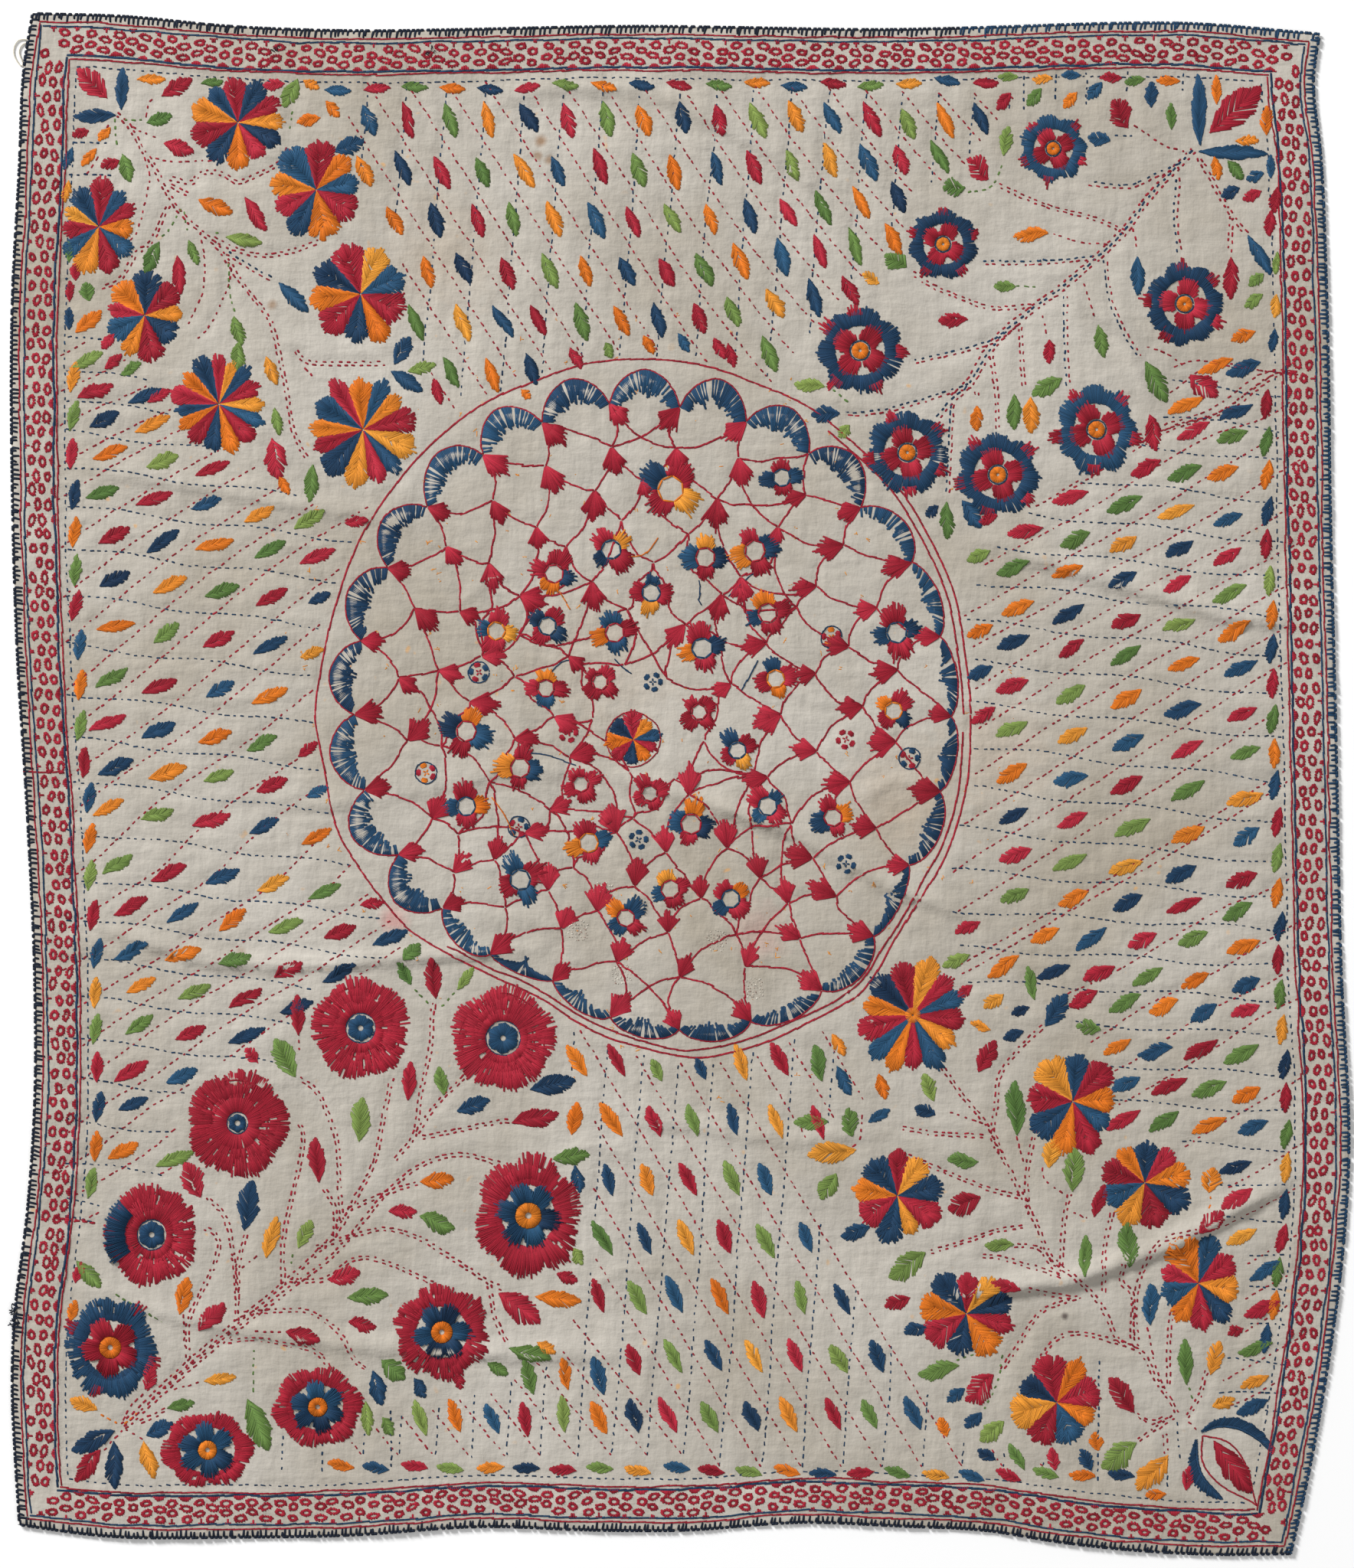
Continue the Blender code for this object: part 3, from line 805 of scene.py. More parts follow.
# Rows of the right lattice: x and y of the innermost leaf, how many, the pitch, which colour first.
RIGHT_ROWS = (
    (0.3356, 0.2626, 2, 0.0170, 3), (0.3159, 0.2371, 2, 0.0320, 3), (0.3226, 0.2203, 2, 0.0216, 1),
    (0.2905, 0.1997, 3, 0.0247, 1), (0.2444, 0.1786, 4, 0.0327, 1), (0.2156, 0.1579, 5, 0.0320, 1),
    (0.2098, 0.1363, 5, 0.0336, 2), (0.2098, 0.1109, 5, 0.0345, 3), (0.2084, 0.0878, 5, 0.0355, 0),
    (0.2084, 0.0610, 5, 0.0360, 1), (0.2084, 0.0346, 5, 0.0360, 2), (0.2084, 0.0077, 5, 0.0360, 3),
    (0.2103, -0.0187, 5, 0.0360, 0), (0.2084, -0.0437, 5, 0.0360, 1), (0.2098, -0.0701, 5, 0.0355, 2),
    (0.2281, -0.0941, 5, 0.0310, 3), (0.2031, -0.1157, 6, 0.0300, 3), (0.2516, -0.1373, 5, 0.0255, 1),
    (0.2732, -0.1646, 4, 0.0262, 3), (0.2785, -0.1882, 4, 0.0260, 0), (0.2785, -0.2107, 4, 0.0270, 1),
    (0.3198, -0.2376, 2, 0.0290, 3), (0.3486, -0.2611, 1, 0.0290, 1), (0.3519, -0.2822, 1, 0.0290, 3),
    (0.3668, -0.3058, 1, 0.0290, 0), (0.3654, -0.3278, 1, 0.0290, 1), (0.3606, -0.3514, 1, 0.0290, 2),
    (0.3615, -0.3734, 1, 0.0290, 3), (0.3586, -0.3922, 1, 0.0290, 0),
)
# The rows above this one fall faster towards the border than the others.
FLAT_FROM_ROW = 14
RIGHT_DROPS = (-0.115, -0.060)
RIGHT_SLANT_PITCH = 0.0355
# No leaf of the right lattice lies further out than this.
RIGHT_LIMIT = 0.3765


def left_lattice(sides):
    """Rows of leaves that point up to the right, with blue wavy lines and red slanting ones."""
    keep = keep_in(LEFT_AREA)
    order = (GREEN, RED, BLUE, ORANGE)
    heights = [y - LEFT_DROP * x for x, y in LEFT_ROWS]

    def height(row, x):
        level = np.interp(row, np.arange(len(heights)), heights)
        if row < 0:
            level += -0.024 * row
        return level + LEFT_DROP * x

    for row, (first, _) in enumerate(LEFT_ROWS):
        for column in range(6):
            x = first + LEFT_PITCH * column
            spot = (x, height(row, x))
            lattice_leaf("leaves_left", order[(row + column) % 4], spot, LEFT_HEADING, LEFT_AREA)
        phase = RNG.uniform(0, 6)
        wave = [(x, height(row + 0.5, x) + 0.0014 * math.sin(x / 0.014 + phase) + 0.001)
                for x in np.arange(-0.386, -0.180, 0.010)]
        running("wave_left", BLUE, wave, keep=keep, width=UPRIGHT_WIDTH)
    for row in range(0, len(LEFT_ROWS) + 6):
        first = LEFT_ROWS[min(row, len(LEFT_ROWS) - 1)][0]
        places = [(first + LEFT_PITCH * (k - 0.5), row - k) for k in range(-1, 7)]
        slant = [(x, height(crossed, x)) for x, crossed in places]
        running("slant_left", RED, slant, keep=keep, width=SLANT_WIDTH)
    upright_row(sides, "left", (ORANGE, GREEN, RED, BLUE), 22, 0.2707, 0.0259, 0.475, 0.945, math.radians(82),
                (0.0195, 0.0078))


def right_lattice(sides):
    """Rows of leaves that point down to the left, with blue wavy lines and red slanting ones."""
    keep = keep_in(RIGHT_AREA)

    def row_height(row, x):
        drop = RIGHT_DROPS[0] if row < FLAT_FROM_ROW else RIGHT_DROPS[1]
        return RIGHT_ROWS[row][1] + drop * (x - RIGHT_ROWS[row][0])

    def height(row, x):
        row = min(max(row, 0.0), len(RIGHT_ROWS) - 1.0)
        low = int(math.floor(row))
        base = row_height(low, x)
        return base + (row - low) * (row_height(min(low + 1, len(RIGHT_ROWS) - 1), x) - base)

    for row, (first, _, count, pitch, colour) in enumerate(RIGHT_ROWS):
        for column in range(count):
            x = first + pitch * column
            if x < RIGHT_LIMIT:
                lattice_leaf("leaves_right", CYCLE[(colour + column) % 4], (x, height(row, x)), RIGHT_HEADING,
                             RIGHT_AREA, length=0.0225, width=0.0088)
        phase = RNG.uniform(0, 6)
        wave = [(x, height(row + 0.5, x) + 0.0016 * math.sin(x / 0.016 + phase))
                for x in np.arange(0.160, 0.386, 0.010)]
        running("wave_right", BLUE, wave, keep=keep, width=UPRIGHT_WIDTH)
        places = [(first + RIGHT_SLANT_PITCH * (k - 0.5), row - k) for k in range(-1, 8)]
        slant = [(x, height(crossed, x)) for x, crossed in places]
        running("slant_right", RED, slant, keep=keep, width=SLANT_WIDTH)
    upright_row(sides, "right", (RED, GREEN, ORANGE, BLUE), 28, 0.2578, 0.02345, 0.472, 0.952,
                math.radians(262), (0.0190, 0.0074))


# ---------------------------------------------------------------- corner trees

# Leaves: colour, x, y, heading in degrees from stalk to tip, length, width.
TOP_LEFT_LEAVES = (
    (RED, -0.3686, 0.4397, 135, 0.0265, 0.0145), (BLUE, -0.3498, 0.4363, 88, 0.0265, 0.0085),
    (BLUE, -0.3671, 0.4190, 182, 0.0265, 0.0088), (ORANGE, -0.331, 0.442, 0, 0.0175, 0.0068),
    (RED, -0.315, 0.437, 30, 0.0220, 0.0105), (GREEN, -0.293, 0.440, 5, 0.0138, 0.0060),
    (GREEN, -0.326, 0.417, 15, 0.0165, 0.0090), (RED, -0.314, 0.399, -15, 0.0195, 0.0110),
    (ORANGE, -0.291, 0.362, -22, 0.0230, 0.0105), (RED, -0.266, 0.357, -58, 0.0250, 0.0090),
    (GREEN, -0.273, 0.341, -10, 0.0230, 0.0085), (GREEN, -0.331, 0.330, -115, 0.0215, 0.0100),
    (RED, -0.314, 0.319, -85, 0.0245, 0.0088), (GREEN, -0.305, 0.333, -70, 0.0165, 0.0065),
    (BLUE, -0.242, 0.305, -45, 0.0260, 0.0095), (GREEN, -0.277, 0.284, -75, 0.0190, 0.0085),
    (RED, -0.376, 0.408, 195, 0.0110, 0.0070), (ORANGE, -0.361, 0.4075, 230, 0.0115, 0.0062),
    (BLUE, -0.3835, 0.392, 250, 0.0150, 0.0062), (ORANGE, -0.3705, 0.393, 230, 0.0145, 0.0060),
    (RED, -0.3575, 0.389, 200, 0.0125, 0.0085), (GREEN, -0.347, 0.386, -75, 0.0180, 0.0095),
    (ORANGE, -0.3845, 0.3715, 260, 0.0140, 0.0060), (RED, -0.255, 0.4385, 185, 0.0140, 0.0080),
    (GREEN, -0.244, 0.433, 245, 0.0200, 0.0105), (ORANGE, -0.231, 0.4385, -30, 0.0110, 0.0070),
    (ORANGE, -0.233, 0.4165, 190, 0.0145, 0.0088), (ORANGE, -0.2175, 0.423, -50, 0.0130, 0.0075),
    (BLUE, -0.207, 0.400, 20, 0.0200, 0.0115), (RED, -0.379, 0.3215, 90, 0.0110, 0.0070),
    (GREEN, -0.383, 0.334, 90, 0.0130, 0.0055), (RED, -0.3825, 0.3095, 90, 0.0130, 0.0060),
    (GREEN, -0.3715, 0.309, 100, 0.0120, 0.0100), (BLUE, -0.383, 0.292, 90, 0.0140, 0.0065),
    (ORANGE, -0.3705, 0.290, 40, 0.0215, 0.0095), (GREEN, -0.277, 0.268, -95, 0.0190, 0.0092),
    (ORANGE, -0.256, 0.259, -70, 0.0190, 0.0080), (GREEN, -0.2525, 0.227, -80, 0.0175, 0.0068),
    (RED, -0.2535, 0.2035, -80, 0.0260, 0.0140), (ORANGE, -0.248, 0.187, -60, 0.0130, 0.0070),
    (GREEN, -0.231, 0.1885, -95, 0.0235, 0.0092), (RED, -0.3585, 0.2775, 230, 0.0125, 0.0070),
    (RED, -0.355, 0.265, 40, 0.0140, 0.0070), (GREEN, -0.344, 0.2605, 30, 0.0150, 0.0070),
    (RED, -0.3265, 0.2435, 30, 0.0160, 0.0075), (GREEN, -0.1615, 0.261, 15, 0.0180, 0.0080),
    (BLUE, -0.171, 0.2525, -32, 0.0235, 0.0095), (BLUE, -0.174, 0.272, 60, 0.0200, 0.0110),
    (RED, -0.152, 0.246, -75, 0.0170, 0.0070),
)
TOP_RIGHT_LEAVES = (
    (RED, 0.3485, 0.423, 42, 0.0430, 0.0200), (BLUE, 0.3255, 0.423, 92, 0.0450, 0.0092),
    (BLUE, 0.347, 0.396, -2, 0.0430, 0.0088), (ORANGE, 0.220, 0.3445, 184, 0.0215, 0.0095),
    (GREEN, 0.2035, 0.312, 180, 0.0140, 0.0072), (BLUE, 0.287, 0.3185, -90, 0.0245, 0.0088),
    (RED, 0.2315, 0.271, -90, 0.0155, 0.0078), (GREEN, 0.264, 0.2775, -80, 0.0210, 0.0088),
    (RED, 0.171, 0.291, 182, 0.0185, 0.0092), (RED, 0.3455, 0.317, -90, 0.0265, 0.0098),
    (BLUE, 0.3635, 0.3315, -60, 0.0290, 0.0082), (GREEN, 0.2985, 0.252, -62, 0.0290, 0.0125),
    (RED, 0.3285, 0.2495, -40, 0.0220, 0.0145), (GREEN, 0.230, 0.249, -150, 0.0215, 0.0110),
    (GREEN, 0.2095, 0.233, -90, 0.0225, 0.0092), (ORANGE, 0.220, 0.231, -90, 0.0225, 0.0110),
    (RED, 0.2965, 0.220, -80, 0.0235, 0.0102), (RED, 0.276, 0.4205, 120, 0.0200, 0.0150),
    (BLUE, 0.2955, 0.4325, 90, 0.0165, 0.0085), (GREEN, 0.308, 0.419, 90, 0.0165, 0.0066),
    (BLUE, 0.2625, 0.4045, 170, 0.0145, 0.0100), (GREEN, 0.2045, 0.4035, 80, 0.0185, 0.0088),
    (GREEN, 0.1715, 0.374, 180, 0.0140, 0.0120), (GREEN, 0.135, 0.328, 150, 0.0160, 0.0125),
    (ORANGE, 0.1195, 0.317, 150, 0.0125, 0.0080), (RED, 0.187, 0.386, 135, 0.0185, 0.0140),
    (GREEN, 0.2055, 0.4435, 180, 0.0130, 0.0060), (ORANGE, 0.227, 0.442, 180, 0.0130, 0.0062),
    (BLUE, 0.245, 0.4445, 180, 0.0125, 0.0060), (RED, 0.270, 0.443, 180, 0.0140, 0.0068),
    (GREEN, 0.285, 0.441, 190, 0.0130, 0.0066), (ORANGE, 0.306, 0.441, 180, 0.0150, 0.0066),
    (RED, 0.203, 0.428, 230, 0.0140, 0.0080), (GREEN, 0.222, 0.4305, 230, 0.0140, 0.0080),
    (BLUE, 0.260, 0.4345, 230, 0.0140, 0.0080), (ORANGE, 0.2445, 0.4285, 230, 0.0130, 0.0075),
    (ORANGE, 0.3365, 0.4355, 90, 0.0180, 0.0064), (ORANGE, 0.368, 0.4165, 90, 0.0185, 0.0080),
    (ORANGE, 0.356, 0.4035, 0, 0.0145, 0.0070), (ORANGE, 0.3365, 0.386, -80, 0.0150, 0.0070),
    (GREEN, 0.3485, 0.385, -50, 0.0150, 0.0080), (BLUE, 0.3705, 0.3875, 90, 0.0150, 0.0055),
    (BLUE, 0.3605, 0.381, 200, 0.0120, 0.0075), (BLUE, 0.345, 0.371, 205, 0.0130, 0.0080),
    (RED, 0.3585, 0.369, 205, 0.0130, 0.0075), (RED, 0.3735, 0.366, 265, 0.0160, 0.0085),
    (RED, 0.370, 0.3515, 265, 0.0165, 0.0078), (GREEN, 0.374, 0.3265, 265, 0.0140, 0.0050),
    (GREEN, 0.361, 0.316, 220, 0.0120, 0.0080), (GREEN, 0.3595, 0.303, 215, 0.0140, 0.0080),
    (ORANGE, 0.3735, 0.2995, 265, 0.0150, 0.0070), (ORANGE, 0.353, 0.281, 200, 0.0160, 0.0085),
    (BLUE, 0.372, 0.278, 262, 0.0150, 0.0062), (BLUE, 0.091, 0.232, 182, 0.0180, 0.0110),
    (GREEN, 0.081, 0.250, 175, 0.0195, 0.0088), (GREEN, 0.103, 0.221, 230, 0.0100, 0.0085),
    (ORANGE, 0.186, 0.229, -90, 0.0160, 0.0085), (GREEN, 0.1675, 0.165, -90, 0.0235, 0.0088),
    (BLUE, 0.158, 0.171, 220, 0.0100, 0.0080), (BLUE, 0.183, 0.169, -55, 0.0210, 0.0105),
)
BOTTOM_LEFT_LEAVES = (
    (BLUE, -0.0795, -0.1885, 12, 0.0290, 0.0130), (BLUE, -0.1295, -0.2015, 20, 0.0220, 0.0108),
    (RED, -0.0905, -0.2095, 12, 0.0305, 0.0120), (ORANGE, -0.066, -0.2095, 80, 0.0210, 0.0100),
    (GREEN, -0.068, -0.2335, 8, 0.0230, 0.0110), (BLUE, -0.064, -0.248, -80, 0.0175, 0.0080),
    (GREEN, -0.200, -0.210, 85, 0.0280, 0.0125), (RED, -0.1695, -0.186, 85, 0.0245, 0.0092),
    (GREEN, -0.1495, -0.186, 100, 0.0185, 0.0086), (ORANGE, -0.152, -0.2485, 5, 0.0215, 0.0108),
    (RED, -0.1735, -0.268, 0, 0.0180, 0.0088), (GREEN, -0.152, -0.275, -20, 0.0235, 0.0120),
    (GREEN, -0.064, -0.2965, -60, 0.0120, 0.0080), (RED, -0.0705, -0.3095, -20, 0.0140, 0.0085),
    (ORANGE, -0.076, -0.323, -5, 0.0290, 0.0108), (RED, -0.1005, -0.3285, -35, 0.0320, 0.0170),
    (GREEN, -0.0935, -0.357, -15, 0.0270, 0.0108), (ORANGE, -0.0835, -0.3535, -30, 0.0130, 0.0080),
    (GREEN, -0.114, -0.3665, -30, 0.0150, 0.0085), (RED, -0.1385, -0.3745, -80, 0.0110, 0.0075),
    (BLUE, -0.163, -0.379, -60, 0.0140, 0.0085), (GREEN, -0.1795, -0.3675, -40, 0.0190, 0.0135),
    (BLUE, -0.1895, -0.379, -75, 0.0225, 0.0108), (GREEN, -0.196, -0.398, -85, 0.0215, 0.0078),
    (GREEN, -0.183, -0.403, -60, 0.0130, 0.0080), (GREEN, -0.1955, -0.321, 5, 0.0255, 0.0110),
    (RED, -0.199, -0.339, -10, 0.0175, 0.0098), (RED, -0.210, -0.3085, 15, 0.0205, 0.0120),
    (BLUE, -0.3680, -0.4120, 205, 0.0300, 0.0125), (RED, -0.3710, -0.4275, 232, 0.0250, 0.0118),
    (BLUE, -0.3545, -0.4275, -88, 0.0300, 0.0115), (ORANGE, -0.3330, -0.4240, -75, 0.0240, 0.0100),
    (ORANGE, -0.3740, -0.3890, 158, 0.0185, 0.0100), (BLUE, -0.3260, -0.4045, 25, 0.0185, 0.0105),
    (GREEN, -0.3125, -0.3895, 12, 0.0175, 0.0078), (ORANGE, -0.2880, -0.3730, 8, 0.0205, 0.0076),
    (RED, -0.2935, -0.3340, 48, 0.0240, 0.0120), (RED, -0.2360, -0.3460, -15, 0.0225, 0.0110),
    (ORANGE, -0.3110, -0.3205, 78, 0.0235, 0.0110), (GREEN, -0.2645, -0.4020, -68, 0.0350, 0.0150),
    (BLUE, -0.2705, -0.2640, 80, 0.0320, 0.0140), (RED, -0.3055, -0.2480, 115, 0.0245, 0.0145),
    (RED, -0.2275, -0.2355, 95, 0.0285, 0.0108), (GREEN, -0.2475, -0.1715, 118, 0.0275, 0.0145),
    (RED, -0.2685, -0.1700, 130, 0.0120, 0.0085), (RED, -0.2395, -0.1445, 92, 0.0255, 0.0095),
    (GREEN, -0.2350, -0.2820, 65, 0.0195, 0.0095), (ORANGE, -0.2560, -0.2840, 76, 0.0270, 0.0098),
    (GREEN, -0.3705, -0.3075, -48, 0.0225, 0.0105), (RED, -0.3320, -0.3720, 65, 0.0160, 0.0098),
    (RED, -0.3770, -0.3060, 75, 0.0140, 0.0070), (ORANGE, -0.3805, -0.3300, 75, 0.0140, 0.0075),
    (RED, -0.1545, -0.1214, 97, 0.0260, 0.0112), (GREEN, -0.1679, -0.1051, 45, 0.0150, 0.0095),
    (GREEN, -0.1727, -0.1186, 120, 0.0160, 0.0082), (GREEN, -0.1343, -0.1219, 54, 0.0170, 0.0065),
)
BOTTOM_RIGHT_LEAVES = (
    (RED, 0.1786, -0.1300, 220, 0.0120, 0.0070), (GREEN, 0.1729, -0.1109, 205, 0.0185, 0.0085),
    (RED, 0.1800, -0.0900, 205, 0.0170, 0.0085), (ORANGE, 0.1964, -0.1363, 215, 0.0150, 0.0090),
    (BLUE, 0.2132, -0.1421, 200, 0.0120, 0.0065), (ORANGE, 0.1882, -0.1517, 160, 0.0135, 0.0060),
    (BLUE, 0.2089, -0.1574, 200, 0.0140, 0.0075), (ORANGE, 0.0994, -0.1637, -60, 0.0160, 0.0075),
    (BLUE, 0.1028, -0.1862, -65, 0.0200, 0.0085), (ORANGE, 0.1268, -0.1900, -75, 0.0165, 0.0085),
    (GREEN, 0.156, -0.190, 110, 0.0185, 0.0092), (BLUE, 0.1535, -0.205, 160, 0.0140, 0.0090),
    (RED, 0.1925, -0.1705, 62, 0.0225, 0.0120), (GREEN, 0.2105, -0.2030, 92, 0.0345, 0.0120),
    (BLUE, 0.2360, -0.1415, 56, 0.0245, 0.0130), (RED, 0.2515, -0.1365, 25, 0.0140, 0.0090),
    (GREEN, 0.2200, -0.1245, 102, 0.0215, 0.0075), (GREEN, 0.2560, -0.1525, 170, 0.0155, 0.0100),
    (ORANGE, 0.2330, -0.2310, 80, 0.0195, 0.0115), (GREEN, 0.2470, -0.2415, 86, 0.0275, 0.0135),
    (RED, 0.2630, -0.2610, 72, 0.0215, 0.0082), (ORANGE, 0.3330, -0.2480, 80, 0.0160, 0.0130),
    (RED, 0.3330, -0.2745, 42, 0.0205, 0.0120), (GREEN, 0.082, -0.212, 182, 0.0220, 0.0098),
    (GREEN, 0.1065, -0.212, 100, 0.0180, 0.0112), (ORANGE, 0.095, -0.231, 186, 0.0310, 0.0138),
    (BLUE, 0.125, -0.208, 30, 0.0160, 0.0070), (GREEN, 0.093, -0.2525, 240, 0.0190, 0.0125),
    (BLUE, 0.110, -0.281, 200, 0.0190, 0.0105), (GREEN, 0.1425, -0.302, 215, 0.0280, 0.0150),
    (RED, 0.136, -0.325, 200, 0.0170, 0.0102), (BLUE, 0.1475, -0.342, 200, 0.0150, 0.0092),
    (GREEN, 0.162, -0.3675, 192, 0.0265, 0.0108), (RED, 0.188, -0.379, 225, 0.0240, 0.0165),
    (BLUE, 0.173, -0.383, 215, 0.0135, 0.0085), (BLUE, 0.184, -0.399, 225, 0.0140, 0.0088),
    (ORANGE, 0.165, -0.403, 110, 0.0130, 0.0080), (GREEN, 0.1955, -0.406, 220, 0.0195, 0.0122),
    (BLUE, 0.192, -0.4205, 150, 0.0130, 0.0080), (GREEN, 0.177, -0.236, 176, 0.0195, 0.0095),
    (RED, 0.178, -0.263, 200, 0.0220, 0.0150), (GREEN, 0.200, -0.289, 182, 0.0185, 0.0082),
    (RED, 0.2040, -0.3145, 165, 0.0195, 0.0082), (GREEN, 0.2540, -0.2955, 88, 0.0260, 0.0078),
    (GREEN, 0.2810, -0.2885, 92, 0.0285, 0.0125), (BLUE, 0.2950, -0.3260, 90, 0.0260, 0.0105),
    (GREEN, 0.3170, -0.3620, 92, 0.0290, 0.0092), (RED, 0.2770, -0.3830, 125, 0.0270, 0.0135),
    (GREEN, 0.2750, -0.4210, 215, 0.0270, 0.0160), (ORANGE, 0.2960, -0.4320, 228, 0.0290, 0.0150),
    (ORANGE, 0.3355, -0.3595, 75, 0.0220, 0.0105), (RED, 0.3185, -0.4350, 80, 0.0160, 0.0075),
    (ORANGE, 0.3410, -0.3880, 20, 0.0150, 0.0085), (ORANGE, 0.2610, -0.4120, 100, 0.0120, 0.0095),
    (RED, 0.2340, -0.4230, 100, 0.0145, 0.0080), (BLUE, 0.2545, -0.4235, 115, 0.0150, 0.0090),
    (GREEN, 0.2110, -0.4215, 120, 0.0190, 0.0070), (ORANGE, 0.2980, -0.4455, 185, 0.0130, 0.0075),
    (RED, 0.3480, -0.3430, 200, 0.0100, 0.0080),
)

# Stalks: one colour for a single line or two for a pair, and the points they run through.
TOP_LEFT_STALKS = (
    ((RED, RED), ((-0.354, 0.421), (-0.345, 0.412), (-0.336, 0.3965), (-0.331, 0.390), (-0.320, 0.368),
                  (-0.310, 0.355), (-0.299, 0.3455), (-0.288, 0.3345), (-0.2745, 0.314), (-0.262, 0.2985),
                  (-0.255, 0.285), (-0.2475, 0.2515), (-0.242, 0.2205), (-0.232, 0.201))),
    ((RED,), ((-0.336, 0.3935), (-0.3325, 0.381), (-0.334, 0.370), (-0.3405, 0.3455), (-0.349, 0.338))),
    ((RED,), ((-0.331, 0.393), (-0.3155, 0.390), (-0.2855, 0.392))),
    ((RED, RED), ((-0.320, 0.380), (-0.306, 0.377), (-0.302, 0.382), (-0.2925, 0.384), (-0.284, 0.381),
                  (-0.277, 0.377), (-0.2635, 0.3825), (-0.250, 0.3905), (-0.244, 0.402))),
    ((RED, RED), ((-0.3205, 0.3635), (-0.331, 0.341), (-0.3405, 0.333), (-0.3515, 0.316),
                  (-0.364, 0.311))),
    ((RED,), ((-0.301, 0.347), (-0.298, 0.329), (-0.2995, 0.308), (-0.3105, 0.2835))),
    ((RED,), ((-0.284, 0.329), (-0.2815, 0.319), (-0.2935, 0.289), (-0.306, 0.2755))),
    ((RED, RED), ((-0.2935, 0.3425), (-0.280, 0.336), (-0.2635, 0.3315), (-0.247, 0.333),
                  (-0.2235, 0.341))),
    ((RED, RED), ((-0.320, 0.376), (-0.311, 0.371), (-0.303, 0.368))),
    ((BLUE, RED), ((-0.284, 0.3335), (-0.268, 0.323), (-0.2525, 0.315))),
    ((RED, RED), ((-0.2415, 0.273), (-0.234, 0.265), (-0.215, 0.2635), (-0.182, 0.264))),
    ((RED,), ((-0.236, 0.262), (-0.227, 0.2515))),
    ((RED,), ((-0.345, 0.413), (-0.3375, 0.409), (-0.3235, 0.404))),
    ((RED,), ((-0.3345, 0.417), (-0.333, 0.427), (-0.326, 0.4325))),
    ((GREEN,), ((-0.350, 0.4165), (-0.334, 0.4165))),
    ((GREEN,), ((-0.354, 0.418), (-0.3535, 0.404), (-0.350, 0.396))),
    ((GREEN,), ((-0.3125, 0.361), (-0.3195, 0.349), (-0.327, 0.340))),
    ((GREEN,), ((-0.311, 0.359), (-0.3095, 0.349), (-0.307, 0.341))),
    ((GREEN,), ((-0.292, 0.346), (-0.284, 0.345))),
    ((GREEN,), ((-0.283, 0.327), (-0.282, 0.307), (-0.278, 0.294))),
    ((GREEN,), ((-0.243, 0.424), (-0.245, 0.405))),
    ((BLUE,), ((-0.382, 0.4025), (-0.3565, 0.402))),
    ((BLUE,), ((-0.385, 0.382), (-0.353, 0.382))),
    ((BLUE,), ((-0.386, 0.317), (-0.373, 0.317))),
    ((BLUE,), ((-0.386, 0.2805), (-0.362, 0.279))),
    ((RED,), ((-0.365, 0.403), (-0.357, 0.415))),
    ((RED,), ((-0.372, 0.382), (-0.362, 0.397))),
)
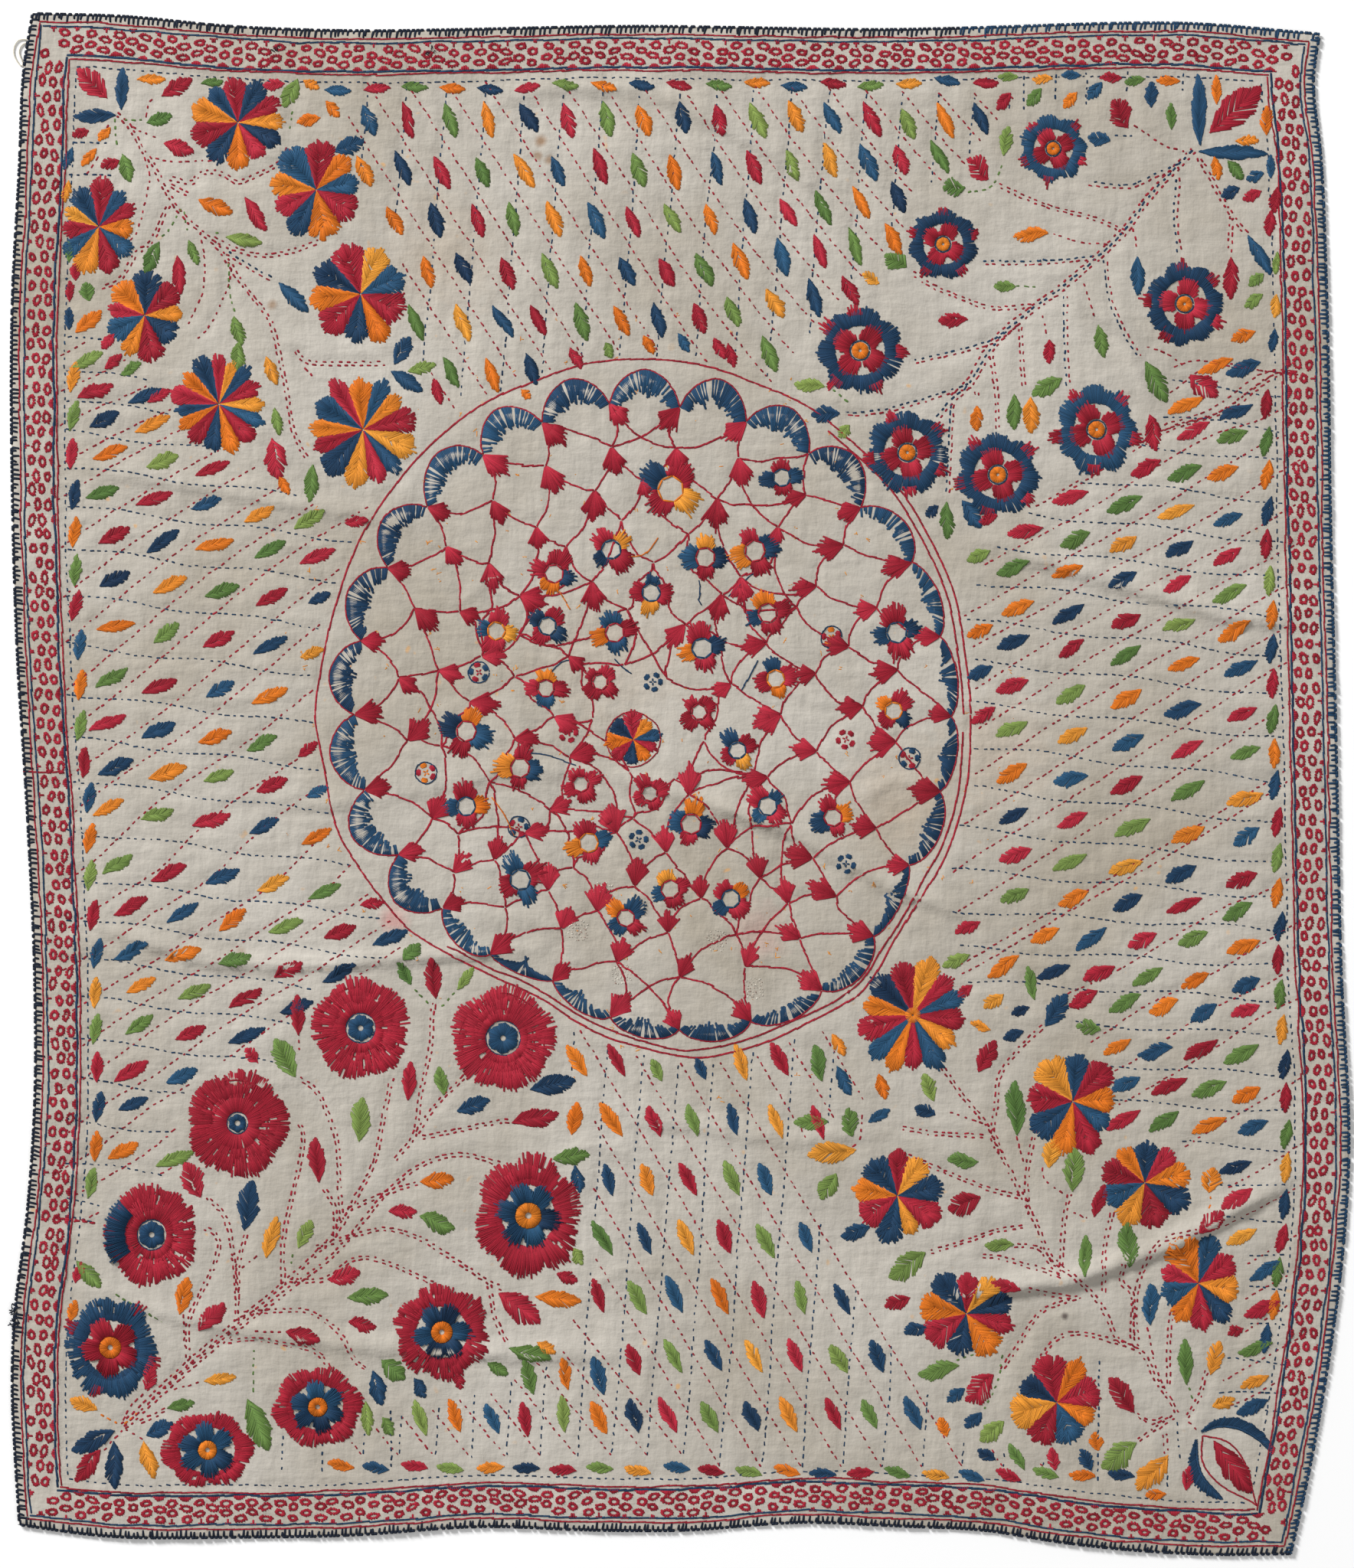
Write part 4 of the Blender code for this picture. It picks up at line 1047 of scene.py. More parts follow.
TOP_RIGHT_STALKS = (
    ((RED, BLUE), ((0.323, 0.3975), (0.296, 0.369), (0.2805, 0.3475), (0.265, 0.332), (0.2405, 0.311),
                   (0.2175, 0.294), (0.198, 0.2755), (0.1825, 0.251), (0.1695, 0.239), (0.1605, 0.2275))),
    ((RED,), ((0.321, 0.399), (0.2935, 0.3705), (0.278, 0.3495), (0.2625, 0.334), (0.238, 0.313),
              (0.215, 0.296), (0.195, 0.278), (0.180, 0.254), (0.165, 0.239))),
    ((RED, BLUE), ((0.1825, 0.250), (0.140, 0.237), (0.118, 0.2325), (0.101, 0.2325))),
    ((RED, BLUE), ((0.3135, 0.388), (0.297, 0.381), (0.2805, 0.3745), (0.2545, 0.377))),
    ((RED, RED), ((0.279, 0.346), (0.262, 0.354), (0.2285, 0.363), (0.1945, 0.378))),
    ((RED, BLUE), ((0.261, 0.330), (0.2285, 0.327), (0.187, 0.327))),
    ((RED, RED), ((0.222, 0.300), (0.196, 0.2985), (0.1735, 0.306), (0.158, 0.3125), (0.144, 0.3215))),
    ((RED, BLUE), ((0.2125, 0.2895), (0.196, 0.2775), (0.1735, 0.271), (0.1455, 0.2645))),
    ((RED, BLUE), ((0.3125, 0.381), (0.311, 0.354), (0.3135, 0.329))),
    ((RED, RED), ((0.325, 0.3935), (0.3355, 0.375), (0.346, 0.3565), (0.356, 0.3445))),
    ((RED, BLUE), ((0.2665, 0.329), (0.270, 0.3035), (0.2775, 0.285), (0.2895, 0.265))),
    ((RED, BLUE), ((0.2415, 0.3075), (0.242, 0.2775), (0.2435, 0.2475))),
    ((RED, RED), ((0.2135, 0.2865), (0.2145, 0.265), (0.216, 0.244))),
    ((RED, RED), ((0.195, 0.270), (0.1985, 0.245), (0.199, 0.222))),
    ((RED, BLUE), ((0.171, 0.240), (0.169, 0.205), (0.168, 0.179))),
    ((RED,), ((0.253, 0.315), (0.260, 0.2895))),
    ((RED,), ((0.284, 0.349), (0.287, 0.3315))),
    ((RED,), ((0.227, 0.2955), (0.2305, 0.280))),
    ((RED,), ((0.231, 0.346), (0.250, 0.340), (0.2685, 0.3385))),
    ((RED,), ((0.284, 0.413), (0.305, 0.400), (0.320, 0.396))),
    ((RED,), ((0.2915, 0.2745), (0.305, 0.270), (0.320, 0.259))),
    ((RED, RED), ((0.346, 0.3565), (0.3445, 0.331))),
    ((RED, RED), ((0.186, 0.247), (0.187, 0.238))),
    ((GREEN,), ((0.210, 0.312), (0.229, 0.3115))),
    ((GREEN,), ((0.179, 0.371), (0.1945, 0.374), (0.204, 0.3925))),
    ((GREEN,), ((0.091, 0.250), (0.103, 0.242), (0.109, 0.235))),
    ((BLUE,), ((0.2705, 0.4065), (0.288, 0.4065))),
    ((BLUE,), ((0.216, 0.446), (0.2155, 0.420))),
    ((BLUE,), ((0.236, 0.447), (0.235, 0.424))),
    ((BLUE,), ((0.255, 0.447), (0.2545, 0.422))),
    ((BLUE,), ((0.281, 0.447), (0.280, 0.432))),
    ((BLUE,), ((0.3155, 0.447), (0.315, 0.430))),
)
BOTTOM_LEFT_STALKS = (
    ((RED, RED), ((-0.3498, -0.4027), (-0.312, -0.366), (-0.278, -0.3375), (-0.247, -0.312),
                  (-0.2165, -0.2825), (-0.204, -0.2605), (-0.192, -0.238), (-0.1855, -0.208),
                  (-0.1800, -0.182))),
    ((RED, RED), ((-0.349, -0.4045), (-0.310, -0.369), (-0.2755, -0.3405), (-0.244, -0.316),
                  (-0.215, -0.293), (-0.184, -0.2565), (-0.161, -0.2385), (-0.136, -0.2325),
                  (-0.110, -0.2395))),
    ((RED, RED), ((-0.3085, -0.3605), (-0.3075, -0.336), (-0.297, -0.313), (-0.2895, -0.294),
                  (-0.291, -0.2825), (-0.3005, -0.277))),
    ((RED, RED), ((-0.278, -0.3375), (-0.277, -0.313), (-0.2770, -0.302), (-0.2710, -0.279))),
    ((RED, RED), ((-0.277, -0.325), (-0.281, -0.288), (-0.2855, -0.271), (-0.2980, -0.2575))),
    ((RED, RED), ((-0.2485, -0.3155), (-0.2485, -0.2855), (-0.239, -0.2415), (-0.236, -0.220),
                  (-0.2395, -0.211))),
    ((RED, RED), ((-0.2165, -0.2845), (-0.2165, -0.266), (-0.224, -0.252))),
    ((RED, RED), ((-0.212, -0.275), (-0.2135, -0.250), (-0.2155, -0.222), (-0.2275, -0.193),
                  (-0.240, -0.184))),
    ((RED, RED), ((-0.179, -0.236), (-0.1665, -0.220), (-0.163, -0.197), (-0.159, -0.178),
                  (-0.1559, -0.1613), (-0.1550, -0.1421), (-0.1526, -0.1349))),
    ((RED, RED), ((-0.1655, -0.220), (-0.153, -0.2015), (-0.137, -0.1855), (-0.128, -0.175))),
    ((RED, RED), ((-0.163, -0.222), (-0.143, -0.218), (-0.112, -0.2115), (-0.104, -0.213))),
    ((RED, RED), ((-0.208, -0.267), (-0.184, -0.2565), (-0.161, -0.249))),
    ((RED, RED), ((-0.2285, -0.2905), (-0.204, -0.283), (-0.184, -0.279), (-0.163, -0.285),
                  (-0.143, -0.2975), (-0.1205, -0.312), (-0.108, -0.318))),
    ((RED, RED), ((-0.247, -0.3115), (-0.2225, -0.3105), (-0.204, -0.298), (-0.184, -0.3),
                  (-0.1487, -0.316))),
    ((RED, RED), ((-0.1195, -0.314), (-0.116, -0.3345), (-0.108, -0.351))),
    ((RED, RED), ((-0.275, -0.3325), (-0.263, -0.331), (-0.2375, -0.330), (-0.2255, -0.3345),
                  (-0.212, -0.346), (-0.204, -0.361), (-0.194, -0.369))),
    ((RED, RED), ((-0.284, -0.3495), (-0.266, -0.348), (-0.240, -0.3525), (-0.228, -0.3562),
                  (-0.2187, -0.3672))),
    ((RED,), ((-0.267, -0.3427), (-0.247, -0.3437))),
    ((RED,), ((-0.332, -0.379), (-0.3445, -0.390), (-0.350, -0.402))),
    ((RED,), ((-0.3185, -0.3805), (-0.298, -0.374))),
    ((RED, RED), ((-0.3395, -0.401), (-0.321, -0.3915))),
    ((RED,), ((-0.311, -0.332), (-0.3105, -0.350), (-0.309, -0.358))),
    ((RED,), ((-0.2750, -0.3040), (-0.2610, -0.2920))),
    ((RED,), ((-0.349, -0.405), (-0.3635, -0.420))),
    ((RED,), ((-0.349, -0.404), (-0.3335, -0.4125))),
    ((RED,), ((-0.2390, -0.158), (-0.2380, -0.171))),
    ((ORANGE,), ((-0.3495, -0.4022), (-0.336, -0.391))),
    ((ORANGE,), ((-0.3505, -0.4022), (-0.3655, -0.3935))),
    ((GREEN,), ((-0.242, -0.293), (-0.2445, -0.303))),
    ((GREEN,), ((-0.3545, -0.3195), (-0.340, -0.328), (-0.3195, -0.340))),
    ((GREEN,), ((-0.2672, -0.3537), (-0.2675, -0.386))),
    ((GREEN,), ((-0.1574, -0.1382), (-0.1625, -0.1330), (-0.1679, -0.1272))),
    ((GREEN,), ((-0.1502, -0.1406), (-0.1445, -0.1350), (-0.1396, -0.1286))),
    ((BLUE,), ((-0.181, -0.392), (-0.181, -0.4345))),
    ((BLUE,), ((-0.2240, -0.413), (-0.2245, -0.4345))),
    ((BLUE,), ((-0.2490, -0.408), (-0.2500, -0.4345))),
)
BOTTOM_RIGHT_STALKS = (
    ((RED, RED), ((0.312, -0.396), (0.308, -0.387), (0.2985, -0.3735), (0.290, -0.357), (0.2745, -0.348),
                  (0.266, -0.330), (0.2525, -0.3135), (0.233, -0.297), (0.223, -0.275), (0.214, -0.257),
                  (0.202, -0.233), (0.1945, -0.2165), (0.1753, -0.193), (0.1623, -0.1735))),
    ((RED, RED), ((0.202, -0.233), (0.196, -0.222), (0.198, -0.203), (0.2000, -0.185), (0.2093, -0.170),
                  (0.2285, -0.1507))),
    ((RED, RED), ((0.138, -0.2155), (0.160, -0.219), (0.1945, -0.221))),
    ((RED, RED), ((0.1425, -0.233), (0.1665, -0.243), (0.1925, -0.2535), (0.2165, -0.260))),
    ((RED, RED), ((0.1555, -0.294), (0.1815, -0.286), (0.199, -0.280), (0.2165, -0.2775))),
    ((RED, RED), ((0.2233, -0.215), (0.218, -0.2405), (0.218, -0.264), (0.223, -0.2745))),
    ((RED,), ((0.2107, -0.2195), (0.2165, -0.2420))),
    ((RED, RED), ((0.2445, -0.2555), (0.2405, -0.2775), (0.239, -0.3043))),
    ((RED,), ((0.2275, -0.2405), (0.2285, -0.2477), (0.242, -0.2583))),
    ((RED,), ((0.245, -0.2673), (0.254, -0.2722), (0.2597, -0.2702))),
    ((RED, RED), ((0.2713, -0.2673), (0.266, -0.2923), (0.266, -0.3226))),
    ((RED, RED), ((0.278, -0.300), (0.277, -0.3125), (0.2837, -0.3211), (0.2837, -0.348),
                  (0.290, -0.3557))),
    ((RED, RED), ((0.3255, -0.280), (0.305, -0.285), (0.2943, -0.2957), (0.2855, -0.321),
                  (0.2866, -0.3514))),
    ((RED, RED), ((0.3087, -0.3288), (0.3063, -0.3514), (0.3068, -0.3811))),
    ((RED,), ((0.2929, -0.3394), (0.2986, -0.3662), (0.3063, -0.384))),
    ((RED, RED), ((0.3303, -0.3677), (0.3255, -0.384), (0.3169, -0.3989))),
    ((RED, RED), ((0.2852, -0.3946), (0.2958, -0.4003), (0.3063, -0.396))),
    ((RED, RED), ((0.2862, -0.4123), (0.302, -0.4018), (0.3106, -0.396))),
    ((RED, RED), ((0.3049, -0.420), (0.3034, -0.4037))),
    ((RED, RED), ((0.2228, -0.3648), (0.2362, -0.348), (0.2525, -0.3446), (0.2717, -0.3494),
                  (0.2837, -0.3528))),
    ((RED, RED), ((0.2017, -0.3677), (0.2108, -0.3542), (0.2257, -0.3317), (0.2478, -0.3226),
                  (0.2554, -0.3197))),
    ((RED, RED), ((0.218, -0.3168), (0.2391, -0.3211), (0.2478, -0.3226))),
    ((RED, RED), ((0.2094, -0.289), (0.2257, -0.2914), (0.2329, -0.3019), (0.2406, -0.3091))),
    ((RED, RED), ((0.1882, -0.2957), (0.2031, -0.2976), (0.2228, -0.3034), (0.2406, -0.3091))),
    ((RED,), ((0.168, -0.205), (0.1945, -0.2145))),
    ((RED,), ((0.3169, -0.3989), (0.327, -0.408))),
    ((RED,), ((0.1145, -0.2055), (0.1125, -0.2235), (0.1040, -0.2285))),
    ((GREEN,), ((0.3190, -0.378), (0.322, -0.388))),
    ((GREEN,), ((0.171, -0.362), (0.188, -0.3563), (0.2017, -0.3480))),
    ((GREEN,), ((0.190, -0.393), (0.199, -0.375), (0.2025, -0.356))),
    ((ORANGE,), ((0.3325, -0.257), (0.3320, -0.270))),
    ((BLUE,), ((0.3116, -0.3989), (0.3135, -0.4258))),
    ((BLUE,), ((0.2630, -0.3610), (0.2620, -0.440))),
    ((BLUE,), ((0.3055, -0.432), (0.3055, -0.446))),
)

CORNER_TREES = (
    ("top_left", TOP_LEFT_LEAVES, TOP_LEFT_STALKS),
    ("top_right", TOP_RIGHT_LEAVES, TOP_RIGHT_STALKS),
    ("bottom_left", BOTTOM_LEFT_LEAVES, BOTTOM_LEFT_STALKS),
    ("bottom_right", BOTTOM_RIGHT_LEAVES, BOTTOM_RIGHT_STALKS),
)

# Pinwheels: x, y, radius across and up, number of petals, colour and bearing of the first petal.
WHEELS = (
    (-0.277, 0.4147, 0.0295, 0.0270, 11, RED, 1.35), (-0.2279, 0.3725, 0.0280, 0.0290, 9, RED, 1.10),
    (-0.2001, 0.3072, 0.0295, 0.0310, 9, RED, 1.50), (-0.3642, 0.3494, 0.0225, 0.0315, 11, RED, 1.20),
    (-0.3354, 0.2938, 0.0235, 0.0275, 9, BLUE, 1.10), (-0.2889, 0.2381, 0.0295, 0.0305, 15, RED, 1.40),
    (-0.1986, 0.2222, 0.0325, 0.0345, 13, BLUE, 0.95),
    (0.1460, -0.1450, 0.0320, 0.0360, 13, ORANGE, 1.00), (0.2463, -0.1990, 0.0275, 0.0320, 9, BLUE, 1.15),
    (0.2914, -0.2500, 0.0290, 0.0275, 9, BLUE, 1.15), (0.3250, -0.3130, 0.0250, 0.0285, 9, BLUE, 1.00),
    (0.1364, -0.2582, 0.0285, 0.0285, 9, RED, 1.30), (0.1796, -0.3322, 0.0275, 0.0275, 9, ORANGE, 0.60),
    (0.2363, -0.3878, 0.0270, 0.0275, 8, ORANGE, 0.75),
)
WHEEL_WITH_HEART = (0.1460, -0.1450)

# Rosettes: x, y, radius across and up.
ROSETTES = (
    (0.2340, 0.3984, 0.0215, 0.0215), (0.1650, 0.3384, 0.0220, 0.0225), (0.1130, 0.2717, 0.0275, 0.0275),
    (0.3164, 0.3010, 0.0245, 0.0270), (0.2612, 0.2222, 0.0255, 0.0290), (0.1993, 0.1939, 0.0265, 0.0265),
    (0.1426, 0.2078, 0.0260, 0.0265),
)

# Poppies: x, y, radius across and up, share of the blue heart.
POPPIES = (
    (-0.2001, -0.1531, 0.0315, 0.0325, 0.29), (-0.1108, -0.1594, 0.0335, 0.0335, 0.32),
    (-0.2773, -0.2127, 0.0325, 0.0345, 0.20), (-0.3311, -0.2827, 0.0295, 0.0325, 0.30),
)
POPPY_WITH_BLUE_RIM = (-0.3311, -0.2827)

# Double flowers: x, y, radius across and up, outer and inner colour, share of the inner one.
DOUBLE_FLOWERS = (
    (-0.0950, -0.2707, 0.0340, 0.0395, RED, BLUE, 0.52),
    (-0.1492, -0.3437, 0.0305, 0.0305, RED, BLUE, 0.56),
    (-0.2270, -0.3907, 0.0290, 0.0258, RED, BLUE, 0.58),
    (-0.2961, -0.4176, 0.0295, 0.0242, RED, BLUE, 0.62),
    (-0.3570, -0.3533, 0.0290, 0.0325, BLUE, RED, 0.56),
)
BLUE_DOUBLE_FLOWER = (-0.3570, -0.3533)

# The large bud in the bottom right corner: its foot, its outline from there, and two feathered leaves.
BUD_FOOT = (0.3275, -0.4085)
BUD_HEADING = math.radians(-52)
BUD_OUTLINE = ((0.0, 0.0), (0.014, 0.0105), (0.032, 0.0100), (0.050, 0.002), (0.056, 0.0))
UPPER_FEATHER = ((0.327, -0.4065), (0.3375, -0.4025), (0.350, -0.4035), (0.362, -0.410), (0.3705, -0.4185))
LOWER_FEATHER = ((0.324, -0.4110), (0.3240, -0.4250), (0.3280, -0.4360), (0.3400, -0.4480))
FEATHER_REACH = 0.0058


def tree(name, leaves, stalks):
    """The stalks and loose leaves of one corner tree."""
    for colours, points in stalks:
        offsets = (STALK_SPREAD, -STALK_SPREAD) if len(colours) == 2 else (0.0,)
        for colour, offset in zip(colours, offsets):
            running("stalks_" + name, colour, points, offset=offset)
    leaves_of("tree_" + name, leaves)


def feather(colour, points, side):
    """A long curved leaf: stitches that slope off one side of a line."""
    path = smooth_path(points, 0.0009)
    count = len(path)
    t = np.linspace(0, 1, count)
    run = np.gradient(path, axis=0)
    run /= np.linalg.norm(run, axis=1)[:, None]
    across = leftward(run) * side
    breadth = FEATHER_REACH * np.sin(math.pi * np.clip(t * 0.95 + 0.04, 0, 1)) ** 0.6
    size = (breadth * (1 + RNG.normal(0, 0.10, count)))[:, None]
    for sideways, forwards in ((0.95, 0.75), (-0.25, 0.45)):
        tips = path + across * size * sideways + run * size * forwards
        sew("flowers", colour, tips, path, FILL_WIDTH, FILL_HEIGHT, 0.4)


def large_bud():
    """The bud in the bottom right corner, in its outline and between its feathered leaves."""
    leaf("flowers", RED, (0.3465, -0.4285), math.radians(-55), 0.0405, 0.0155, slit=0.0)
    for side in (1.0, -1.0):
        outline = turned(np.array(BUD_OUTLINE) * (1.0, side), BUD_HEADING) + BUD_FOOT
        stemmed("flowers", RED, outline, width=0.0011)
    feather(BLUE, UPPER_FEATHER, 1.0)
    feather(BLUE, LOWER_FEATHER, -1.0)


def trees():
    """The four corner trees with their flowers."""
    for name, leaves, stalks in CORNER_TREES:
        tree(name, leaves, stalks)
    for x, y, across, up, petals, first, turn in WHEELS:
        pinwheel("flowers", (x, y), (across, up), petals, first, turn)
    fringe("flowers", ORANGE, WHEEL_WITH_HEART, 0.0004, 0.0052, drop=0.0, height=0.0008)
    ring_line("flowers", BLUE, WHEEL_WITH_HEART, 0.0058)
    for x, y, across, up in ROSETTES:
        rosette("flowers", (x, y), (across, up))
    for x, y, across, up, heart in POPPIES:
        poppy("flowers", (x, y), (across, up), heart)
    fringe("flowers", BLUE, POPPY_WITH_BLUE_RIM, 0.0165, 0.0300, start=2.35, span=1.45, height=0.0016,
           drop=0.0, pitch=0.0009)
    for x, y, across, up, outside, within, share in DOUBLE_FLOWERS:
        lobes = 5 if within == RED else 6
        double_flower("flowers", (x, y), (across, up), outside, within, share, lobes)
    for bearing in (0.95, -0.35, -1.9, 2.65):
        petal("flowers", RED, BLUE_DOUBLE_FLOWER, bearing, 0.0245, 0.0325, 0.17)
    large_bud()


# ---------------------------------------------------------------- medallion

# The net's rounds of crossings: share of the medallion's radius and how many crossings.
NET_ROUNDS = ((0.875, 26), (0.770, 24), (0.660, 21), (0.545, 17), (0.425, 13), (0.300, 9), (0.175, 6))

# Small flowers: x and y.
RING_FLOWERS = (
    (-0.079, 0.132), (-0.043, 0.147), (-0.115, 0.096), (-0.083, 0.099), (-0.041, 0.095), (-0.084, 0.060),
    (-0.050, 0.064), (-0.018, 0.120), (-0.006, 0.185), (0.064, 0.192), (0.016, 0.142), (0.047, 0.146),
    (0.055, 0.107), (0.014, 0.085), (0.060, 0.066), (0.136, 0.095), (-0.134, 0.033), (-0.100, 0.010),
    (-0.062, 0.000), (-0.134, -0.014), (-0.057, -0.037), (-0.100, -0.060), (-0.034, -0.084),
    (-0.019, -0.006), (0.012, 0.045), (0.036, 0.021), (0.134, 0.046), (0.055, -0.014), (0.007, -0.025),
    (0.096, -0.021), (-0.006, -0.066), (0.032, -0.072),
)
# Places in that list of the ones that are red all round, and smaller, and of the largest.
RED_ONLY = (6, 18, 23, 24)
LARGEST = 8
# Colours of their petals, taken in turn.
PETAL_COLOURS = (
    (RED, ORANGE, BLUE, RED), (BLUE, RED, ORANGE, RED), (ORANGE, RED, BLUE, RED),
    (BLUE, RED, BLUE, RED), (RED, BLUE, ORANGE, BLUE), (RED, BLUE, RED, ORANGE),
)
TINY_ROSETTES = (
    (-0.126, 0.070), (-0.017, 0.064), (-0.159, 0.007), (-0.070, 0.032), (-0.101, -0.027),
    (-0.026, -0.035), (0.095, 0.092), (0.104, 0.028), (0.144, 0.016), (0.104, -0.050),
)
BEAN_COLOURS = ((BLUE, RED), (BLUE, BLUE), (RED, ORANGE), (RED, RED))
DARNS = ((-0.048, -0.068), (-0.064, -0.092), (-0.037, -0.119), (0.023, -0.098), (0.046, -0.128))
# The net's heart, a small wheel in a ring of line.
NET_HEART = (-0.0292, 0.0278)


def on_medallion(share, bearing):
    """The point at that share of the medallion's radius and that bearing."""
    bearing = np.asarray(bearing, float)
    uneven = np.interp(np.degrees(bearing) % 360, MEDALLION_BEARING, MEDALLION_SHARE)
    spot = rays(bearing) * MEDALLION_RADIUS
    return spot * (uneven * share).reshape(-1, 1) + MEDALLION_CENTRE


def is_bold(bearing):
    """Where the scallops stand deeper in: all round but on the lower right."""
    return np.cos(bearing - 2.3) > -0.1


def medallion_outline():
    """The round outline, doubled on the right and at the bottom."""
    bearing = np.linspace(0, 2 * math.pi, 73)
    sway = drift(bearing, 37, 0.005, 2 * math.pi)
    sway[-1] = sway[0]
    stemmed("medallion_lines", RED, on_medallion(1.0 + sway, bearing), stitch=0.0055, width=0.00135)
    for part, turn in ((slice(46, 73), -0.05), (slice(0, 12), 0.0)):
        line = on_medallion(0.978 + sway[part], bearing[part] + turn)
        stemmed("medallion_lines", RED, line, stitch=0.0055, width=0.00125)


def pushed(points, room, firmness=1.0):
    """The points moved out of the small flowers, so that lines go round them."""
    points = np.array(points, float)
    for centre in np.array(RING_FLOWERS):
        away = points - centre
        far = np.linalg.norm(away, axis=1) + 1e-9
        near = far < room
        points[near] += away[near] / far[near, None] * (room - far[near])[:, None] * firmness
    return points


def net_crossings():
    """The net's crossings, pushed aside so that each small flower sits in a cell, and their bearings."""
    bearings = []
    for k, (_, count) in enumerate(NET_ROUNDS):
        around = 2 * math.pi * (np.arange(count) + 0.5 * (k % 2)) / count
        bearings.append(around + RNG.normal(0, 0.10 / count, count))
    rounds = [(share, around) for (share, _), around in zip(NET_ROUNDS, bearings)]
    crossings = [on_medallion(share, around) for share, around in rounds]
    cells = np.vstack([on_medallion(share - 0.115, around) for share, around in rounds[:-1]])
    targets = np.array(RING_FLOWERS + TINY_ROSETTES)
    free = np.ones(len(cells), bool)
    sources = []
    for target in targets:
        away = np.linalg.norm(cells - target, axis=1)
        away[~free] = 1.0
        nearest = int(np.argmin(away))
        free[nearest] = False
        sources.append(cells[nearest])
    sources = np.array(sources)
    moves = targets - sources
    for k in range(1, len(crossings)):
        for j, spot in enumerate(crossings[k]):
            weight = np.exp(-0.5 * (np.linalg.norm(sources - spot, axis=1) / 0.022) ** 2)
            shift = (weight[:, None] * moves).sum(axis=0) / (weight.sum() + 0.35)
            crossings[k][j] = spot + shift + RNG.normal(0, 0.0010, 2)
        crossings[k] = pushed(crossings[k], 0.0185)
    return crossings, bearings


def scallops(bearings):
    """Scallops between the outermost crossings, filled with blue satin stitches; gives the crossings."""
    shares = np.where(is_bold(bearings), 0.885, 0.925)
    feet = on_medallion(shares + RNG.normal(0, 0.006, len(shares)), bearings)
    for k, first in enumerate(feet):
        last = feet[(k + 1) % len(feet)]
        middle = bearings[k] + math.pi / len(feet)
        bold = is_bold(middle)
        crest = on_medallion(0.972 if bold else 0.962, np.array([middle]))[0]
        chord = last - first
        outward = crest - 0.5 * (first + last)
        route = []
        for t in (0, 0.08, 0.25, 0.5, 0.75, 0.92, 1):
            route.append(first + chord * t + outward * math.sin(math.pi * t) ** 0.62)
        stemmed("medallion_lines", RED, route, width=0.0012)
        arc = smooth_path(route)
        whole = travelled(arc)[-1]
        count = int(whole / 0.00112)
        at = (np.arange(count) + 0.5) / count
        outer = points_at(arc, at * whole)
        inward = 0.5 * (first + last) - outward * (0.25 if bold else 1.2) - outer
        inward /= np.linalg.norm(inward, axis=1)[:, None]
        depth = (0.0140 if bold else 0.0105) * np.sin(math.pi * np.clip(at, 0.06, 0.94)) ** 0.40
        depth = depth * (1 + RNG.normal(0, 0.13, count))
        # Every few stitches the cloth shows through.
        sewn = RNG.uniform(0, 1, count) > (0.20 if bold else 0.24)
        inner = outer + inward * depth[:, None]
        sew("scallops", BLUE, outer[sewn], inner[sewn], 0.00155, FILL_HEIGHT, RNG.uniform(0.2, 0.8))
    return feet


def net_line(spot, other, side):
    """A curved red line between two crossings of the net, bulging to that side."""
    chord = other - spot
    bulge = np.array([-chord[1], chord[0]]) * side * (0.10 + RNG.normal(0, 0.05))
    route = [spot + chord * t + bulge * 4 * t * (1 - t) + RNG.normal(0, 0.0005, 2) * (0 < t < 1)
             for t in (0, 0.15, 0.3, 0.5, 0.7, 0.85, 1)]
    route[1:-1] = list(pushed(route[1:-1], 0.0140, 0.7))
    stemmed("medallion_lines", RED, route, stitch=0.0050, width=0.00140, stray=0.00022)


def net_fan(spot, ahead, behind):
    """A fan in the corner between two lines of the net, smaller or left out where a flower is near."""
    corner = 0.5 * (ahead + behind) - spot
    opening = abs(np.angle(complex(*(ahead - spot)) / complex(*(behind - spot))))
    heading = math.atan2(corner[1], corner[0])
    reach = 0.0166 * RNG.uniform(0.85, 1.15)
    middle = spot + 0.6 * reach * towards(heading)
    crowd = np.linalg.norm(np.array(RING_FLOWERS) - middle, axis=1).min()
    if crowd > 0.0135:
        reach *= min(1.0, crowd / 0.0195)
        fan("medallion_fans", spot, heading, reach, min(max(0.52 * opening, 0.62), 0.84))


def net(crossings, bearings):
    """Curved red lines that join each crossing to the two nearest of the next round, and its fans."""
    for k in range(len(crossings) - 1):
        for j, spot in enumerate(crossings[k]):
            gap = np.angle(np.exp(1j * (bearings[k + 1] - bearings[k][j])))
            ahead = crossings[k + 1][np.where(gap >= 0, gap, 9.0).argmin()]
            behind = crossings[k + 1][np.where(gap < 0, -gap, 9.0).argmin()]
            net_line(spot, ahead, 1.0)
            net_line(spot, behind, -1.0)
            net_fan(spot, ahead, behind)
    pinwheel("flowers", NET_HEART, (0.0165, 0.0165), 9, RED, 1.2)
    ring_line("flowers", RED, NET_HEART, 0.0172)


def medallion_flowers():
    """The small flowers and rosettes in the cells."""
    for k, spot in enumerate(RING_FLOWERS):
        size = 0.0195 if k == LARGEST else 0.0146 * RNG.uniform(0.90, 1.12)
        colours = PETAL_COLOURS[k % len(PETAL_COLOURS)]
        if k in RED_ONLY:
            size = 0.0122
            colours = (RED, RED, RED, RED)
        ring_flower("medallion_flowers", spot, size, colours, RNG.uniform(0, 6))
    for k, spot in enumerate(TINY_ROSETTES):
        tiny_rosette("medallion_flowers", spot, BEAN_COLOURS[k % 4])


